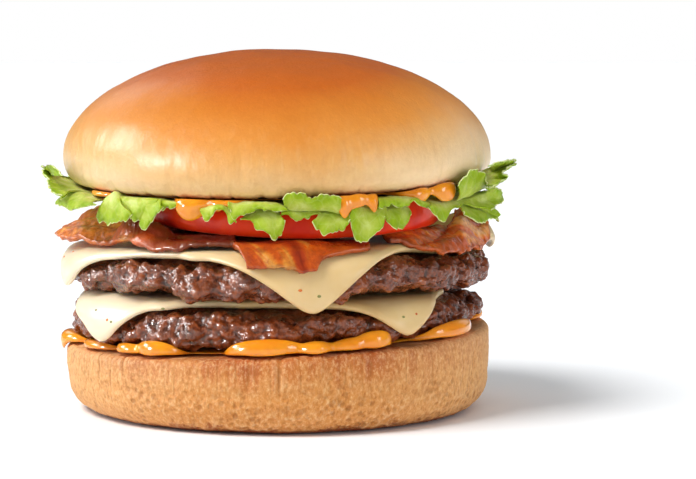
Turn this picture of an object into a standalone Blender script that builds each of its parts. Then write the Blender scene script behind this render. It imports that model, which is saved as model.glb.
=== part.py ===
"""A double cheeseburger with bacon, tomato, lettuce and sauce, built as it is stacked.

The solid layers, from the bottom: the heel of the bun, sauce, a beef patty, a cheese slice, a second patty, a
second cheese slice, three rashers of bacon, a tomato slice, two frilled lettuce leaves, sauce and the crown.

Shapes are worked out in millimetres and turned into metres when a mesh is made. The origin is the middle of
the heel's flat base, +Z is up, and -Y is the front. Azimuths are in degrees, from 0 at the front to 90 at +X.
"""

import math

import bmesh
import bpy
import numpy as np
from mathutils import Vector, noise

MM = 0.001
GAP = 0.3  # left between two pieces that touch

# The bun
BUN_RADIUS = 52.7
HEEL_HEIGHT = 18.6  # at the middle: the top cut leans down to the left
HEEL_LEAN_X = 0.040
HEEL_LEAN_Y = 0.006
HEEL_BASE_RADIUS = 45.0
HEEL_BASE_ROUND = 8.5
HEEL_TOP_ROUND = 1.8
CROWN_BASE = 55.6  # height of the crown's cut face at the middle
CROWN_CUT_RADIUS = 48.3
CROWN_WIDEST = 62.2
CROWN_TOP = 88.8
CROWN_RADIUS = 53.3
CROWN_X = -0.4

# The beef
PATTY_BULGE = 5.6  # how far the rounded edge reaches past the flat faces
PATTY_SQUARENESS = 2.3
LOWER_PATTY_RADIUS = 50.5
LOWER_PATTY_TOP = 28.6
UPPER_PATTY_RADIUS = 51.9
UPPER_PATTY_BOTTOM = 31.3
UPPER_PATTY_TOP = 40.6
CRAG_DEPTH = 1.7
CRAG_SIZE = 8.0

# Bumps of the upper patty's rim: azimuth, half width in degrees, and height
RIM_BUMPS = ((37.0, 24.0, 1.1), (118.0, 36.0, 2.2))

# What lies between
CHEESE_THICKNESS = 2.0
CHEESE_GAP = 0.4
BACON_THICKNESS = 1.5
TOMATO_RADIUS = 37.0
TOMATO_X = 2.5
TOMATO_Y = -10.0
TOMATO_BOTTOM = 45.3
LEAF_THICKNESS = 0.6
SAUCE_THICKNESS = 0.9

# Heights below the crown's cut face of the layers that follow its shape
UPPER_SAUCE_TOP = GAP
UPPER_SAUCE_BOTTOM = 1.1
UPPER_LEAF_MIDDLE = 1.7
LOWER_LEAF_MIDDLE = 2.6
TOMATO_TOP = 3.2

# Edge of the lower leaf: azimuth, radius and height. It hangs in front of the tomato.
LOWER_LEAF_EDGE = (
    (-112, 54.0, 50.5), (-100, 56.0, 51.5), (-88, 55.0, 50.0), (-79, 53.5, 51.5), (-71, 54.5, 50.2),
    (-62, 51.0, 52.6), (-55, 50.6, 50.8), (-49, 50.8, 48.8), (-43, 50.6, 49.3), (-39, 49.4, 51.6),
    (-37, 50.2, 48.8), (-34.5, 46.6, 52.2), (-15, 46.6, 52.2), (-13, 50.0, 50.4), (-11, 49.8, 51.6),
    (-8.5, 50.2, 50.4), (-5, 50.3, 50.2), (-1.5, 50.5, 46.7), (1, 50.4, 46.6),
    (4, 50.3, 50.4), (7.5, 50.2, 51.4), (11, 50.3, 49.6), (14.5, 50.4, 47.9), (18, 50.2, 50.4),
    (20, 50.0, 50.0), (23, 50.4, 45.4), (26.5, 50.2, 49.2), (30, 50.2, 48.4), (34, 50.3, 47.6),
    (37.5, 50.0, 49.6), (40.5, 48.4, 52.6), (44, 49.6, 50.6), (47.5, 50.4, 48.9), (52, 50.0, 52.0),
    (60, 52.5, 50.6), (68, 54.5, 51.0), (76, 55.0, 47.6), (83, 54.0, 50.0), (90, 56.0, 47.4),
    (100, 54.0, 51.0),
)

# Edge of the upper leaf: azimuth, radius and height. It stands out past the crown's rim.
UPPER_LEAF_EDGE = (
    (-110, 55.0, 56.5), (-101, 54.5, 54.2), (-93, 57.6, 59.8), (-86, 55.4, 55.6), (-78, 53.6, 53.6),
    (-69, 53.4, 55.2), (-62, 50.4, 54.0), (-52, 50.0, 53.4), (-47, 51.4, 52.6), (-40, 51.6, 54.2),
    (-37, 50.4, 53.0), (-34.5, 46.6, 53.3), (-15, 46.6, 53.2), (-12.5, 50.6, 53.6), (-9, 51.4, 52.8),
    (-4, 52.0, 54.4), (1, 52.0, 53.6), (4.5, 53.2, 56.4), (7.5, 52.8, 55.4), (10.5, 53.4, 56.6),
    (12.3, 48.6, 53.6), (20, 48.6, 53.2), (29, 48.6, 53.2), (31.5, 51.4, 54.2), (34, 48.8, 53.4),
    (40, 48.6, 53.8), (48, 48.6, 54.2), (57, 48.8, 54.8), (60.5, 54.0, 57.0), (64, 55.0, 61.0),
    (70, 55.6, 57.0), (77, 56.0, 53.6), (84, 57.4, 57.0), (91, 58.6, 60.6), (99, 55.0, 55.0),
    (107, 56.0, 57.5),
)

# Sauce that shows: azimuth, half width in degrees, outer radius, lowest and highest point past the layer
UPPER_SAUCE_BLOBS = (
    (-57, 9.0, 52.3, 1.0, 1.2), (-24.5, 6.6, 51.2, 5.0, 0.2), (18, 3.6, 53.0, 4.0, 1.2),
    (24.4, 3.0, 52.8, 3.4, 0.8), (40, 5.0, 52.2, 1.0, 1.0), (49.6, 6.0, 53.2, 2.0, 1.6),
    (166, 8.0, 52.0, 0.0, 1.0), (-138, 9.0, 52.0, 0.0, 1.0),
)
LOWER_SAUCE_BLOBS = (
    (-85, 10.0, 54.9, 2.8, 2.6), (-63, 11.0, 51.6, 0.0, 1.8), (-38, 10.0, 51.9, 0.0, 3.2),
    (-4, 11.5, 51.9, 0.0, 4.0), (9, 5.0, 52.2, 0.0, 2.4), (23, 8.0, 51.9, 0.0, 4.2),
    (56, 13.0, 52.0, 0.0, 3.4), (98, 10.0, 52.0, 0.0, 2.6), (138, 13.0, 51.9, 0.0, 3.4),
    (-168, 11.0, 52.0, 0.0, 3.0), (-125, 12.0, 51.8, 0.0, 3.2),
)

# Each cheese slice: the first corner's turn from the front, in degrees, and how far the four sides
# lie from the stack's axis, from the side past that corner on
LOWER_CHEESE = {"corner": 37.5, "sides": (40.8, 43.1, 45.6, 43.0)}
UPPER_CHEESE = {"corner": 10.4, "sides": (45.8, 44.0, 41.5, 49.2)}
CORNER_ROUNDING = 14.0  # the higher, the sharper a slice's corners


def ease(t):
    """A smooth step from 0 to 1."""
    t = np.clip(t, 0.0, 1.0)
    return t * t * (3.0 - 2.0 * t)


def at(azimuth, radius):
    """The plan point at an azimuth, in degrees, and a radius."""
    a = math.radians(azimuth)
    return radius * math.sin(a), -radius * math.cos(a)


def heel_top(x, y):
    return HEEL_HEIGHT + HEEL_LEAN_X * x + HEEL_LEAN_Y * y


def crown_bottom(x, y):
    """Height of the crown's cut face, which bends up at both sides and leans down to the left."""
    return CROWN_BASE + 0.020 * x + 0.016 * y + 0.0005 * x * x


def make_node(name, points, faces, colour, roughness, smooth_angle=50.0):
    """Adds one closed mesh, its points in millimetres, with a material of its own."""
    mesh = bpy.data.meshes.new(name)
    mesh.from_pydata([tuple(c * MM for c in p) for p in points], [], faces)
    bm = bmesh.new()
    bm.from_mesh(mesh)
    bmesh.ops.recalc_face_normals(bm, faces=bm.faces)
    bmesh.ops.triangulate(bm, faces=bm.faces)
    bm.to_mesh(mesh)
    bm.free()
    mesh.shade_smooth()
    mesh.set_sharp_from_angle(angle=math.radians(smooth_angle))
    material = bpy.data.materials.new(name)
    material.use_nodes = True
    shader = material.node_tree.nodes["Principled BSDF"]
    shader.inputs["Base Color"].default_value = (*colour, 1.0)
    shader.inputs["Roughness"].default_value = roughness
    mesh.materials.append(material)
    node = bpy.data.objects.new(name, mesh)
    bpy.context.scene.collection.objects.link(node)
    return node


def round_solid(name, azimuths, profile, colour, roughness, middle=(0.0, 0.0)):
    """A closed solid from a profile of (radius, height) points at each azimuth.

    Every profile runs from the axis at the bottom, out and over, to the axis at the top.
    """
    rows = [profile(a) for a in azimuths]
    inner = len(rows[0]) - 2
    points = [(*middle, rows[0][0][1]), (*middle, rows[0][-1][1])]
    for azimuth, row in zip(azimuths, rows):
        for radius, height in row[1:-1]:
            x, y = at(azimuth, radius)
            points.append((middle[0] + x, middle[1] + y, height))
    faces = []
    count = len(azimuths)
    for i in range(count):
        here, there = 2 + i * inner, 2 + (i + 1) % count * inner
        faces.append((0, here, there))
        faces.append((1, there + inner - 1, here + inner - 1))
        for j in range(inner - 1):
            faces.append((here + j, here + j + 1, there + j + 1, there + j))
    return make_node(name, points, faces, colour, roughness)


def even_azimuths(count, first=0.0):
    return [first + 360.0 * i / count for i in range(count)]


def crag(x, y, z, seed):
    """How deep a patty's rough surface lies below its full outline, from 0 to about 1."""
    coarse = noise.noise(Vector((x, y, z)) / CRAG_SIZE + Vector((seed, 0, 0)))
    fine = noise.noise(Vector((x, y, z)) * 2.1 / CRAG_SIZE + Vector((0, seed, 0)))
    return min(1.0, max(0.0, 0.45 - 0.75 * coarse - 0.45 * fine))


def lower_patty(azimuth):
    """The lower patty's full outline at an azimuth.

    It is the radius, then the height at the middle and at the rim of the underside, then of the top.
    """
    a = math.radians(azimuth)
    radius = LOWER_PATTY_RADIUS - 1.0 * math.cos(2 * a) + 0.3 * math.sin(3 * a + 1.0) - 0.5 * math.sin(a)
    x, y = at(azimuth, radius)
    floor = HEEL_HEIGHT + GAP + SAUCE_THICKNESS + GAP
    return radius, floor, heel_top(x, y) + 1.3, LOWER_PATTY_TOP, LOWER_PATTY_TOP - 0.3


def upper_patty(azimuth):
    """The upper patty's full outline. Its rim sags at both sides and has two bumps."""
    a = math.radians(azimuth)
    radius = UPPER_PATTY_RADIUS + 0.7 * math.sin(a) ** 2 + 0.3 * math.sin(3 * a + 2.0) - 0.3 * math.sin(a)
    sag = abs(math.sin(a)) ** 1.5
    high = UPPER_PATTY_TOP - 1.6 * sag
    for middle, half, height in RIM_BUMPS:
        high += height * ease(1.0 - abs((azimuth - middle + 180.0) % 360.0 - 180.0) / half)
    droop = 0.2 * sag + 0.8 * ease((49.5 - slice_reach(LOWER_CHEESE, azimuth)) / 3.5)
    return radius, UPPER_PATTY_BOTTOM, UPPER_PATTY_BOTTOM - droop, UPPER_PATTY_TOP, high


def face_height(r, rim_radius, middle, rim):
    """Height of a patty's top at a radius, level in the middle and bent to the rim's height."""
    return middle + (rim - middle) * ease((r - 25.0) / (rim_radius - 25.0))


def bulge(outline, turn, grown=0.0):
    """A point on a patty's rounded edge, turn degrees above its widest line, moved out by grown."""
    radius, _, low, _, high = outline
    middle, half = (low + high) / 2, (high - low) / 2
    c, s = math.cos(math.radians(turn)), math.sin(math.radians(turn))
    power = 2.0 / PATTY_SQUARENESS
    out = (PATTY_BULGE + grown) * abs(c) ** power
    up = (half + grown) * math.copysign(abs(s) ** power, s)
    return radius - PATTY_BULGE + out, middle + up


def make_patty(name, outline_at, floor_at, azimuths, seed):
    turns = (-75, -50, -25, 0, 25, 50, 75)

    def profile(azimuth):
        outline = outline_at(azimuth)
        radius, bottom, low, top, high = outline
        rim = radius - PATTY_BULGE
        row = [(0.0, bottom), (26.0, floor_at(azimuth, 26.0)), (rim - 3.0, floor_at(azimuth, rim - 3.0))]
        for turn in turns:
            r, z = bulge(outline, turn)
            x, y = at(azimuth, r)
            depth = CRAG_DEPTH * crag(x, y, z, seed)
            c, s = math.cos(math.radians(turn)), math.sin(math.radians(turn))
            row.append((r - depth * c, z - 0.5 * depth * s))
        row += [(rim - 3.0, face_height(rim - 3.0, rim, top, high)), (26.0, top), (0.0, top)]
        return row

    return round_solid(name, azimuths, profile, (0.10, 0.035, 0.018), 0.45)


def lower_patty_floor(azimuth, r):
    """The lower patty's underside, which follows the heel's top."""
    x, y = at(azimuth, r)
    return heel_top(x, y) + GAP + SAUCE_THICKNESS + GAP


def upper_patty_floor(azimuth, r):
    """The upper patty's underside, level on the lower cheese."""
    return UPPER_PATTY_BOTTOM


def drape(outline, along, offset, middle_offset):
    """Where a limp sheet lies that has run a given length over a patty from its middle.

    It follows the top face, the upper half of the rounded edge and then hangs. The length is measured
    at middle_offset above the patty, and the point returned is offset above it, as (radius, height).
    """
    radius, _, _, top, high = outline
    rim = radius - PATTY_BULGE
    path = [(r, face_height(r, rim, top, high)) for r in np.linspace(0.0, rim - 0.5, 24)]
    path += [bulge(outline, turn) for turn in np.linspace(86.0, 0.0, 14)]
    path.append((path[-1][0], path[-1][1] - 30.0))
    path = np.array(path)
    run = np.gradient(path, axis=0)
    run[-1] = (0.0, -1.0)
    run[-2] = (0.0, -1.0)
    run /= np.linalg.norm(run, axis=1)[:, None]
    normal = np.stack([-run[:, 1], run[:, 0]], axis=1)
    middle = path + middle_offset * normal
    length = np.concatenate([[0.0], np.cumsum(np.linalg.norm(np.diff(middle, axis=0), axis=1))])
    wanted = path + offset * normal
    return np.interp(along, length, wanted[:, 0]), np.interp(along, length, wanted[:, 1])


def slice_reach(cheese, azimuth):
    """Length from the stack's axis to the edge of a square cheese slice with rounded corners."""
    total = 0.0
    for k, distance in enumerate(cheese["sides"]):
        facing = math.cos(math.radians(azimuth - cheese["corner"] - 45.0 - 90.0 * k))
        if facing > 0.05:
            total += (facing / distance) ** CORNER_ROUNDING
    return total ** (-1.0 / CORNER_ROUNDING)


def make_cheese(name, cheese, outline_at, count):
    def profile(azimuth):
        outline = outline_at(azimuth)
        reach = slice_reach(cheese, azimuth)
        middle = CHEESE_GAP + CHEESE_THICKNESS / 2
        bend = min(outline[0] - PATTY_BULGE, reach - 3.5)
        lengths = [24.0, *np.linspace(bend, reach - 0.8, 5)]
        under = [drape(outline, length, CHEESE_GAP, middle) for length in lengths]
        tip = drape(outline, reach, middle, middle)
        over = [drape(outline, length, CHEESE_GAP + CHEESE_THICKNESS, middle) for length in reversed(lengths)]
        under.insert(0, (0.0, outline[3] + CHEESE_GAP))
        over.append((0.0, outline[3] + CHEESE_GAP + CHEESE_THICKNESS))
        return [*under, tip, *over]

    azimuths = even_azimuths(count, cheese["corner"])
    return round_solid(name, azimuths, profile, (0.86, 0.74, 0.48), 0.35)


def ribbon_solid(name, middle_at, columns, rows, thickness, colour, roughness):
    """A strip of even thickness about a middle surface, middle_at(u, v), with u and v from 0 to 1."""
    grid = np.array([[middle_at(u, v) for v in np.linspace(0, 1, rows)] for u in np.linspace(0, 1, columns)])
    normal = np.cross(np.gradient(grid, axis=0), np.gradient(grid, axis=1))
    normal /= np.linalg.norm(normal, axis=2)[:, :, None]
    normal *= np.sign(normal[:, :, 2].sum())
    points = [tuple(p) for side in (0.5, -0.5) for p in (grid + side * thickness * normal).reshape(-1, 3)]
    size = columns * rows
    faces = []
    for i in range(columns - 1):
        for j in range(rows - 1):
            a, b = i * rows + j, i * rows + j + 1
            c, d = a + rows, b + rows
            faces.append((a, b, d, c))
            faces.append((size + a, size + c, size + d, size + b))
    rim = [i * rows for i in range(columns)]
    rim += [(columns - 1) * rows + j for j in range(1, rows)]
    rim += [i * rows + rows - 1 for i in range(columns - 2, -1, -1)]
    rim += [j for j in range(rows - 2, 0, -1)]
    for a, b in zip(rim, rim[1:] + rim[:1]):
        faces.append((a, b, size + b, size + a))
    return make_node(name, points, faces, colour, roughness)


def bacon_rest(x, y):
    """Height of the middle of a rasher that lies level on the upper cheese."""
    azimuth = math.degrees(math.atan2(x, -y))
    radius, _, _, top, high = upper_patty(azimuth)
    under = face_height(math.hypot(x, y), radius - PATTY_BULGE, top, high)
    return under + CHEESE_GAP + CHEESE_THICKNESS + GAP + BACON_THICKNESS / 2


def beside_tomato(x, y):
    """How far a point lies outside the tomato slice, in plan."""
    return math.hypot(x - TOMATO_X, y - TOMATO_Y) - TOMATO_RADIUS


def left_rasher(u, v):
    """Lies along the front left rim. u runs from the middle rasher to the tip, v from the outer edge in."""
    outer = np.array(at(-13.6 - 67.9 * u, 48.2 + 7.0 * ease((u - 0.55) / 0.45)))
    inner = np.array((-11.9, -25.0)) * (1 - u) + np.array((-46.5, 6.0)) * u
    x, y = outer * (1 - v) + inner * v
    lift = 5.6 * ease((beside_tomato(x, y) - 1.0) / 6.0) * v**1.3 * (1.0 - 0.5 * ease((u - 0.9) / 0.1))
    ripple = 0.75 * math.sin(14.0 * u + 1.2) * ease((0.45 - v) / 0.45)
    ripple += 0.4 * math.sin(11.0 * v) * ease((u - 0.6) / 0.3)
    return x, y, bacon_rest(x, y) + 0.7 + lift + ripple * ease((u - 0.05) / 0.2)


def right_rasher(u, v):
    """Comes out from under the tomato at the front right. Past the slice its inner edge stands up."""
    outer = np.array(at(33.0 + 54.0 * u, 47.6 + 5.0 * ease((u - 0.10) / 0.60)))
    inner = np.array((17.0, -24.0)) * (1 - u) + np.array((44.5, 7.0)) * u
    inner += 8.0 * np.array((0.74, -0.67)) * math.sin(math.pi * u)
    x, y = outer * (1 - v) + inner * v
    lift = 5.2 * ease((beside_tomato(x, y) - 1.0) / 5.0) * ease(1.2 * v)
    lift *= 1.0 - 0.4 * ease((u - 0.85) / 0.15)
    ripple = (0.25 + 0.35 * math.sin(17.0 * u) * (1 - v)) * ease(u / 0.3)
    return x, y, bacon_rest(x, y) + lift + ripple


def middle_rasher(u, v):
    """Runs from the back to the front, where it hangs over the cheese's corner."""
    along = -50.0 + (106.6 + 1.2 * math.sin(math.pi * v)) * u
    x = -11.6 + 24.8 * v - 8.0 * (v - 0.5) * ease((along - 45.0) / 12.0) + 0.8 * math.sin(along / 17.0)
    y = -along
    azimuth, flat = math.degrees(math.atan2(x, -y)), math.hypot(x, y)
    ripple = 0.25 + 0.25 * math.sin(8.0 * v + 0.06 * along)
    ripple += 0.5 * (1 + math.sin(7.5 * v - 0.4)) * ease((flat - 47.0) / 5.0)
    offset = CHEESE_GAP + CHEESE_THICKNESS + GAP + BACON_THICKNESS / 2 + ripple * ease((flat - 15.0) / 10.0)
    r, z = drape(upper_patty(azimuth), flat, offset, offset)
    plan = at(azimuth, r)
    return plan[0], plan[1], z


def make_bacon():
    colour = (0.36, 0.07, 0.03)
    for name, shape, columns, rows in (
        ("bacon_left", left_rasher, 16, 5),
        ("bacon_middle", middle_rasher, 22, 5),
        ("bacon_right", right_rasher, 14, 5),
    ):
        ribbon_solid(name, shape, columns, rows, BACON_THICKNESS, colour, 0.35)


def make_tomato():
    def profile(azimuth):
        def under(r):
            x = TOMATO_X + at(azimuth, r)[0]
            return TOMATO_BOTTOM + 0.0014 * (x - 8.0) ** 2

        def over(r):
            x, y = at(azimuth, r)
            return crown_bottom(TOMATO_X + x, TOMATO_Y + y) - TOMATO_TOP

        radius = TOMATO_RADIUS + 0.4 * math.sin(math.radians(2 * azimuth + 40)) + 0.2 * math.sin(
            math.radians(5 * azimuth)
        )
        low, high = under(radius), over(radius)
        thick = high - low
        return [
            (0.0, TOMATO_BOTTOM + 0.0014 * (TOMATO_X - 8.0) ** 2),
            (20.0, under(20.0)),
            (radius - 2.4, under(radius - 2.4)),
            (radius - 0.5, low + 0.2 * thick),
            (radius, low + 0.5 * thick),
            (radius - 0.7, low + 0.8 * thick),
            (radius - 2.6, over(radius - 2.6)),
            (20.0, over(20.0)),
            (0.0, crown_bottom(TOMATO_X, TOMATO_Y) - TOMATO_TOP),
        ]

    return round_solid(
        "tomato", even_azimuths(44), profile, (0.62, 0.035, 0.02), 0.2, middle=(TOMATO_X, TOMATO_Y)
    )


def back_frills(front, seed, radius, height, swing):
    """The edge of a leaf round the back, where frills follow each other by a rule with a seeded draw."""
    draw = np.random.default_rng(seed)
    azimuth, end = front[-1][0], front[0][0] + 360.0
    knots = []
    side = 1.0
    while azimuth < end - 12.0:
        azimuth += draw.uniform(5.0, 8.0)
        out = radius + draw.uniform(-1.0, 1.2)
        knots.append((azimuth, out, height + side * swing * draw.uniform(0.5, 1.0)))
        side = -side
    return tuple(front) + tuple(knots)


def leaf_edge(knots, azimuth):
    """Radius and height of a leaf's edge, eased from one knot to the next."""
    turn = (azimuth - knots[0][0]) % 360.0 + knots[0][0]
    ring = list(knots) + [(knots[0][0] + 360.0, *knots[0][1:])]
    for before, after in zip(ring, ring[1:]):
        if before[0] <= turn <= after[0]:
            share = ease((turn - before[0]) / (after[0] - before[0]))
            return [b + (a - b) * share for b, a in zip(before[1:], after[1:])]
    return list(knots[0][1:])


def leaf_profile(knots, azimuth, below_crown, side):
    """One face of a leaf at an azimuth, from the axis out. side is 1 for the upper face, -1 for the lower."""
    edge_radius, edge_height = leaf_edge(knots, azimuth)

    def level(r):
        return crown_bottom(*at(azimuth, r)) - below_crown

    drop = level(edge_radius) - edge_height
    reach = 2.2 + 0.35 * abs(drop)
    start = edge_radius - reach
    bend = 0.85 if drop > 0 else 0.5
    corner = np.array((start + bend * reach, level(start + bend * reach)))
    first, last = np.array((start, level(start))), np.array((edge_radius, edge_height))
    points = [np.array((20.0, level(20.0)))]
    for t in (0.0, 0.5, 1.0):
        points.append((1 - t) ** 2 * first + 2 * t * (1 - t) * corner + t * t * last)
    points = np.array(points)
    run = np.gradient(points, axis=0)
    run /= np.linalg.norm(run, axis=1)[:, None]
    normal = np.stack([-run[:, 1], run[:, 0]], axis=1)
    return [tuple(p) for p in points + side * 0.5 * LEAF_THICKNESS * normal]


def make_leaf(name, knots, below_crown, azimuths):
    def profile(azimuth):
        middle = crown_bottom(0.0, 0.0) - below_crown
        under = leaf_profile(knots, azimuth, below_crown, -1)
        over = leaf_profile(knots, azimuth, below_crown, 1)
        half = 0.5 * LEAF_THICKNESS
        return [(0.0, middle - half), *under, *reversed(over), (0.0, middle + half)]

    return round_solid(name, azimuths, profile, (0.25, 0.48, 0.05), 0.4)


def knot_azimuths(knots, longest):
    """Every knot's azimuth, with more between two knots that lie further apart than longest."""
    ring = list(knots) + [(knots[0][0] + 360.0,)]
    found = []
    for before, after in zip(ring, ring[1:]):
        steps = max(1, math.ceil((after[0] - before[0]) / longest))
        found += [before[0] + (after[0] - before[0]) * i / steps for i in range(steps)]
    return found


def blob_at(blobs, azimuth):
    """The blob of sauce that is fullest at an azimuth, and how full it is there, from 0 to 1."""
    found = []
    for blob in blobs:
        away = abs((azimuth - blob[0] + 180.0) % 360.0 - 180.0) / blob[1]
        found.append((math.sqrt(max(0.0, 1.0 - away * away)), blob))
    return max(found, key=lambda one: one[0])


def blob_azimuths(blobs, longest):
    """Azimuths that follow each blob's rounded ends, with more where no blob lies."""
    found = {blob[0] + share * blob[1] for blob in blobs for share in (-1.0, -0.8, -0.35, 0.35, 0.8, 1.0)}
    kept = []
    for azimuth in sorted((value + 360.0) % 360.0 for value in found):
        if not kept or azimuth - kept[-1] > 1.2:
            kept.append(azimuth)
    filled = []
    for before, after in zip(kept, kept[1:] + [kept[0] + 360.0]):
        steps = max(1, math.ceil((after - before) / longest))
        filled += [before + (after - before) * i / steps for i in range(steps)]
    return filled


def make_upper_sauce(leaves):
    def profile(azimuth):
        full, (_, _, reach, low, high) = blob_at(UPPER_SAUCE_BLOBS, azimuth)
        out = 45.6 + (reach - 45.6) * full
        turns = (-1.5, -0.7, 0.0, 0.7, 1.5)
        edges = [[leaf_edge(leaf, azimuth + turn)[0] for turn in turns] for leaf in leaves]
        past = max(edges[0] + edges[1]) + 1.0
        if out < past + 0.7:
            past = max(edges[1]) + 1.0
            out = past + 0.9 if past < 50.2 else min(45.6, min(edges[1]) - 3.0)
            low, high = 0.0, 0.0
        low *= full
        high *= full
        inside = min(past, out - 0.9)

        def cut(r):
            return crown_bottom(*at(azimuth, r))

        bottom = cut(out) - UPPER_SAUCE_BOTTOM
        return [
            (0.0, cut(0.0) - UPPER_SAUCE_BOTTOM),
            (25.0, cut(25.0) - UPPER_SAUCE_BOTTOM),
            (inside - 0.3, cut(inside) - UPPER_SAUCE_BOTTOM),
            (inside, bottom - 0.5 * low),
            ((inside + out) / 2, bottom - low),
            (out, bottom + 0.4 - 0.4 * low),
            (out - 0.5, cut(out) - UPPER_SAUCE_TOP + high),
            (min(out - 0.75, 50.1), cut(min(out, 50.1)) - UPPER_SAUCE_TOP + 0.2 * full),
            (min(out - 1.0, 47.6), cut(min(out - 1.0, 47.6)) - UPPER_SAUCE_TOP),
            (25.0, cut(25.0) - UPPER_SAUCE_TOP),
            (0.0, cut(0.0) - UPPER_SAUCE_TOP),
        ]

    azimuths = blob_azimuths(UPPER_SAUCE_BLOBS, 9.0)
    return round_solid("sauce_upper", azimuths, profile, (0.85, 0.27, 0.02), 0.15)


def make_lower_sauce():
    def profile(azimuth):
        full, (_, _, reach, low, high) = blob_at(LOWER_SAUCE_BLOBS, azimuth)
        outline = lower_patty(azimuth)
        radius, _, bottom, _, top = outline
        rim, half, power = radius - PATTY_BULGE, (top - bottom) / 2, PATTY_SQUARENESS / 2.0
        out = rim + 1.4 + (reach - rim - 1.4) * full
        rest = heel_top(*at(azimuth, out)) + GAP
        crest = rest + 0.6 + (high - 0.6) * full
        rise = min(1.0, max(0.0, (bottom + half - crest) / (half + GAP))) ** power
        reached = min(1.0, max(0.0, (out - 0.6 - rim) / (PATTY_BULGE + GAP))) ** power
        last = -max(math.degrees(math.asin(rise)), math.degrees(math.acos(reached)))
        over = min(1.0, max(0.0, out - 53.6))
        row = [
            (0.0, HEEL_HEIGHT + GAP),
            (25.0, heel_top(*at(azimuth, 25.0)) + GAP),
            (min(out - 0.8, 51.2), heel_top(*at(azimuth, min(out - 0.8, 51.2))) + GAP),
            (min(out - 0.3, 53.5), rest + 0.1 - 0.35 * over),
            (min(out - 0.2, 53.8), rest + 0.2 - over * (low + 0.5)),
            (out, rest + 0.4 * (crest - rest) - over * low * 0.5),
            (out - 0.35, rest + 0.8 * (crest - rest)),
        ]
        row += [bulge(outline, -90.0 + (last + 90.0) * share, GAP) for share in (1.0, 0.66, 0.33, 0.0)]
        row += [
            (25.0, heel_top(*at(azimuth, 25.0)) + GAP + SAUCE_THICKNESS),
            (0.0, HEEL_HEIGHT + GAP + SAUCE_THICKNESS),
        ]
        return row

    azimuths = blob_azimuths(LOWER_SAUCE_BLOBS, 9.0)
    return round_solid("sauce_lower", azimuths, profile, (0.85, 0.27, 0.02), 0.15)


def make_heel():
    def profile(azimuth):
        wobble = 0.5 * math.sin(math.radians(3 * azimuth + 20)) + 0.3 * math.sin(math.radians(7 * azimuth))
        radius = BUN_RADIUS + 0.35 * wobble
        top = heel_top(*at(azimuth, radius))
        row = [(0.0, 0.0), (HEEL_BASE_RADIUS + wobble, 0.0)]
        for turn in (25, 50, 75):
            c, s = math.cos(math.radians(turn)), math.sin(math.radians(turn))
            row.append((HEEL_BASE_RADIUS + (radius - 0.4 - HEEL_BASE_RADIUS) * s, HEEL_BASE_ROUND * (1 - c)))
        row += [(radius, HEEL_BASE_ROUND + 1.0), (radius - 0.1, top - HEEL_TOP_ROUND - 0.2)]
        row += [(radius - 0.6, top - 0.5), (radius - HEEL_TOP_ROUND, top)]
        row += [(25.0, heel_top(*at(azimuth, 25.0))), (0.0, HEEL_HEIGHT)]
        return row

    return round_solid("bun_heel", even_azimuths(48), profile, (0.72, 0.36, 0.12), 0.7)


def make_crown():
    side_turns = (18, 40, 65)
    dome_turns = (0, 12, 24, 36, 48, 60, 72, 82)

    def profile(azimuth):
        uneven = 0.3 * math.sin(math.radians(2 * azimuth + 70)) + 0.2 * math.sin(math.radians(3 * azimuth))
        radius = CROWN_RADIUS + uneven
        cut = crown_bottom(*at(azimuth, CROWN_CUT_RADIUS))
        row = [(0.0, CROWN_BASE), (25.0, crown_bottom(*at(azimuth, 25.0))), (CROWN_CUT_RADIUS, cut)]
        for turn in side_turns:
            c, s = math.cos(math.radians(turn)), math.sin(math.radians(turn))
            out = CROWN_CUT_RADIUS + (radius - CROWN_CUT_RADIUS) * s
            row.append((out, CROWN_WIDEST - (CROWN_WIDEST - cut) * c))
        for turn in dome_turns:
            c, s = math.cos(math.radians(turn)), math.sin(math.radians(turn))
            row.append((radius * c, CROWN_WIDEST + (CROWN_TOP - CROWN_WIDEST) * s**0.97))
        row.append((0.0, CROWN_TOP))
        return row

    return round_solid(
        "bun_crown", even_azimuths(48), profile, (0.62, 0.24, 0.05), 0.35, middle=(CROWN_X, 0.0)
    )


def clear_scene():
    for item in list(bpy.data.objects):
        bpy.data.objects.remove(item, do_unlink=True)


def main():
    clear_scene()
    make_heel()
    make_lower_sauce()
    make_patty("patty_lower", lower_patty, lower_patty_floor, even_azimuths(60), 3.0)
    make_cheese("cheese_lower", LOWER_CHEESE, lower_patty, 44)
    make_patty("patty_upper", upper_patty, upper_patty_floor, even_azimuths(60), 9.0)
    make_cheese("cheese_upper", UPPER_CHEESE, upper_patty, 44)
    make_bacon()
    make_tomato()
    lower = back_frills(LOWER_LEAF_EDGE, 5, 54.0, 50.2, 1.6)
    upper = back_frills(UPPER_LEAF_EDGE, 8, 56.0, 56.2, 1.6)
    make_leaf("lettuce_lower", lower, LOWER_LEAF_MIDDLE, knot_azimuths(lower, 7.0))
    make_leaf("lettuce_upper", upper, UPPER_LEAF_MIDDLE, knot_azimuths(upper, 7.0))
    make_upper_sauce((lower, upper))
    make_crown()


main()
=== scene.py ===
"""Dresses the double cheeseburger: bun, beef, cheese, bacon, tomato, lettuce and sauce, with a small studio.

Sizes are in millimetres and are turned into metres when a mesh is shaped. The origin is the middle of the
heel's flat base, +Z is up and -Y is the front. Azimuths are in degrees, from 0 at the front to 90 at +X.
"""

import math

import bpy
import numpy as np
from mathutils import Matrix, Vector, noise


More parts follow.
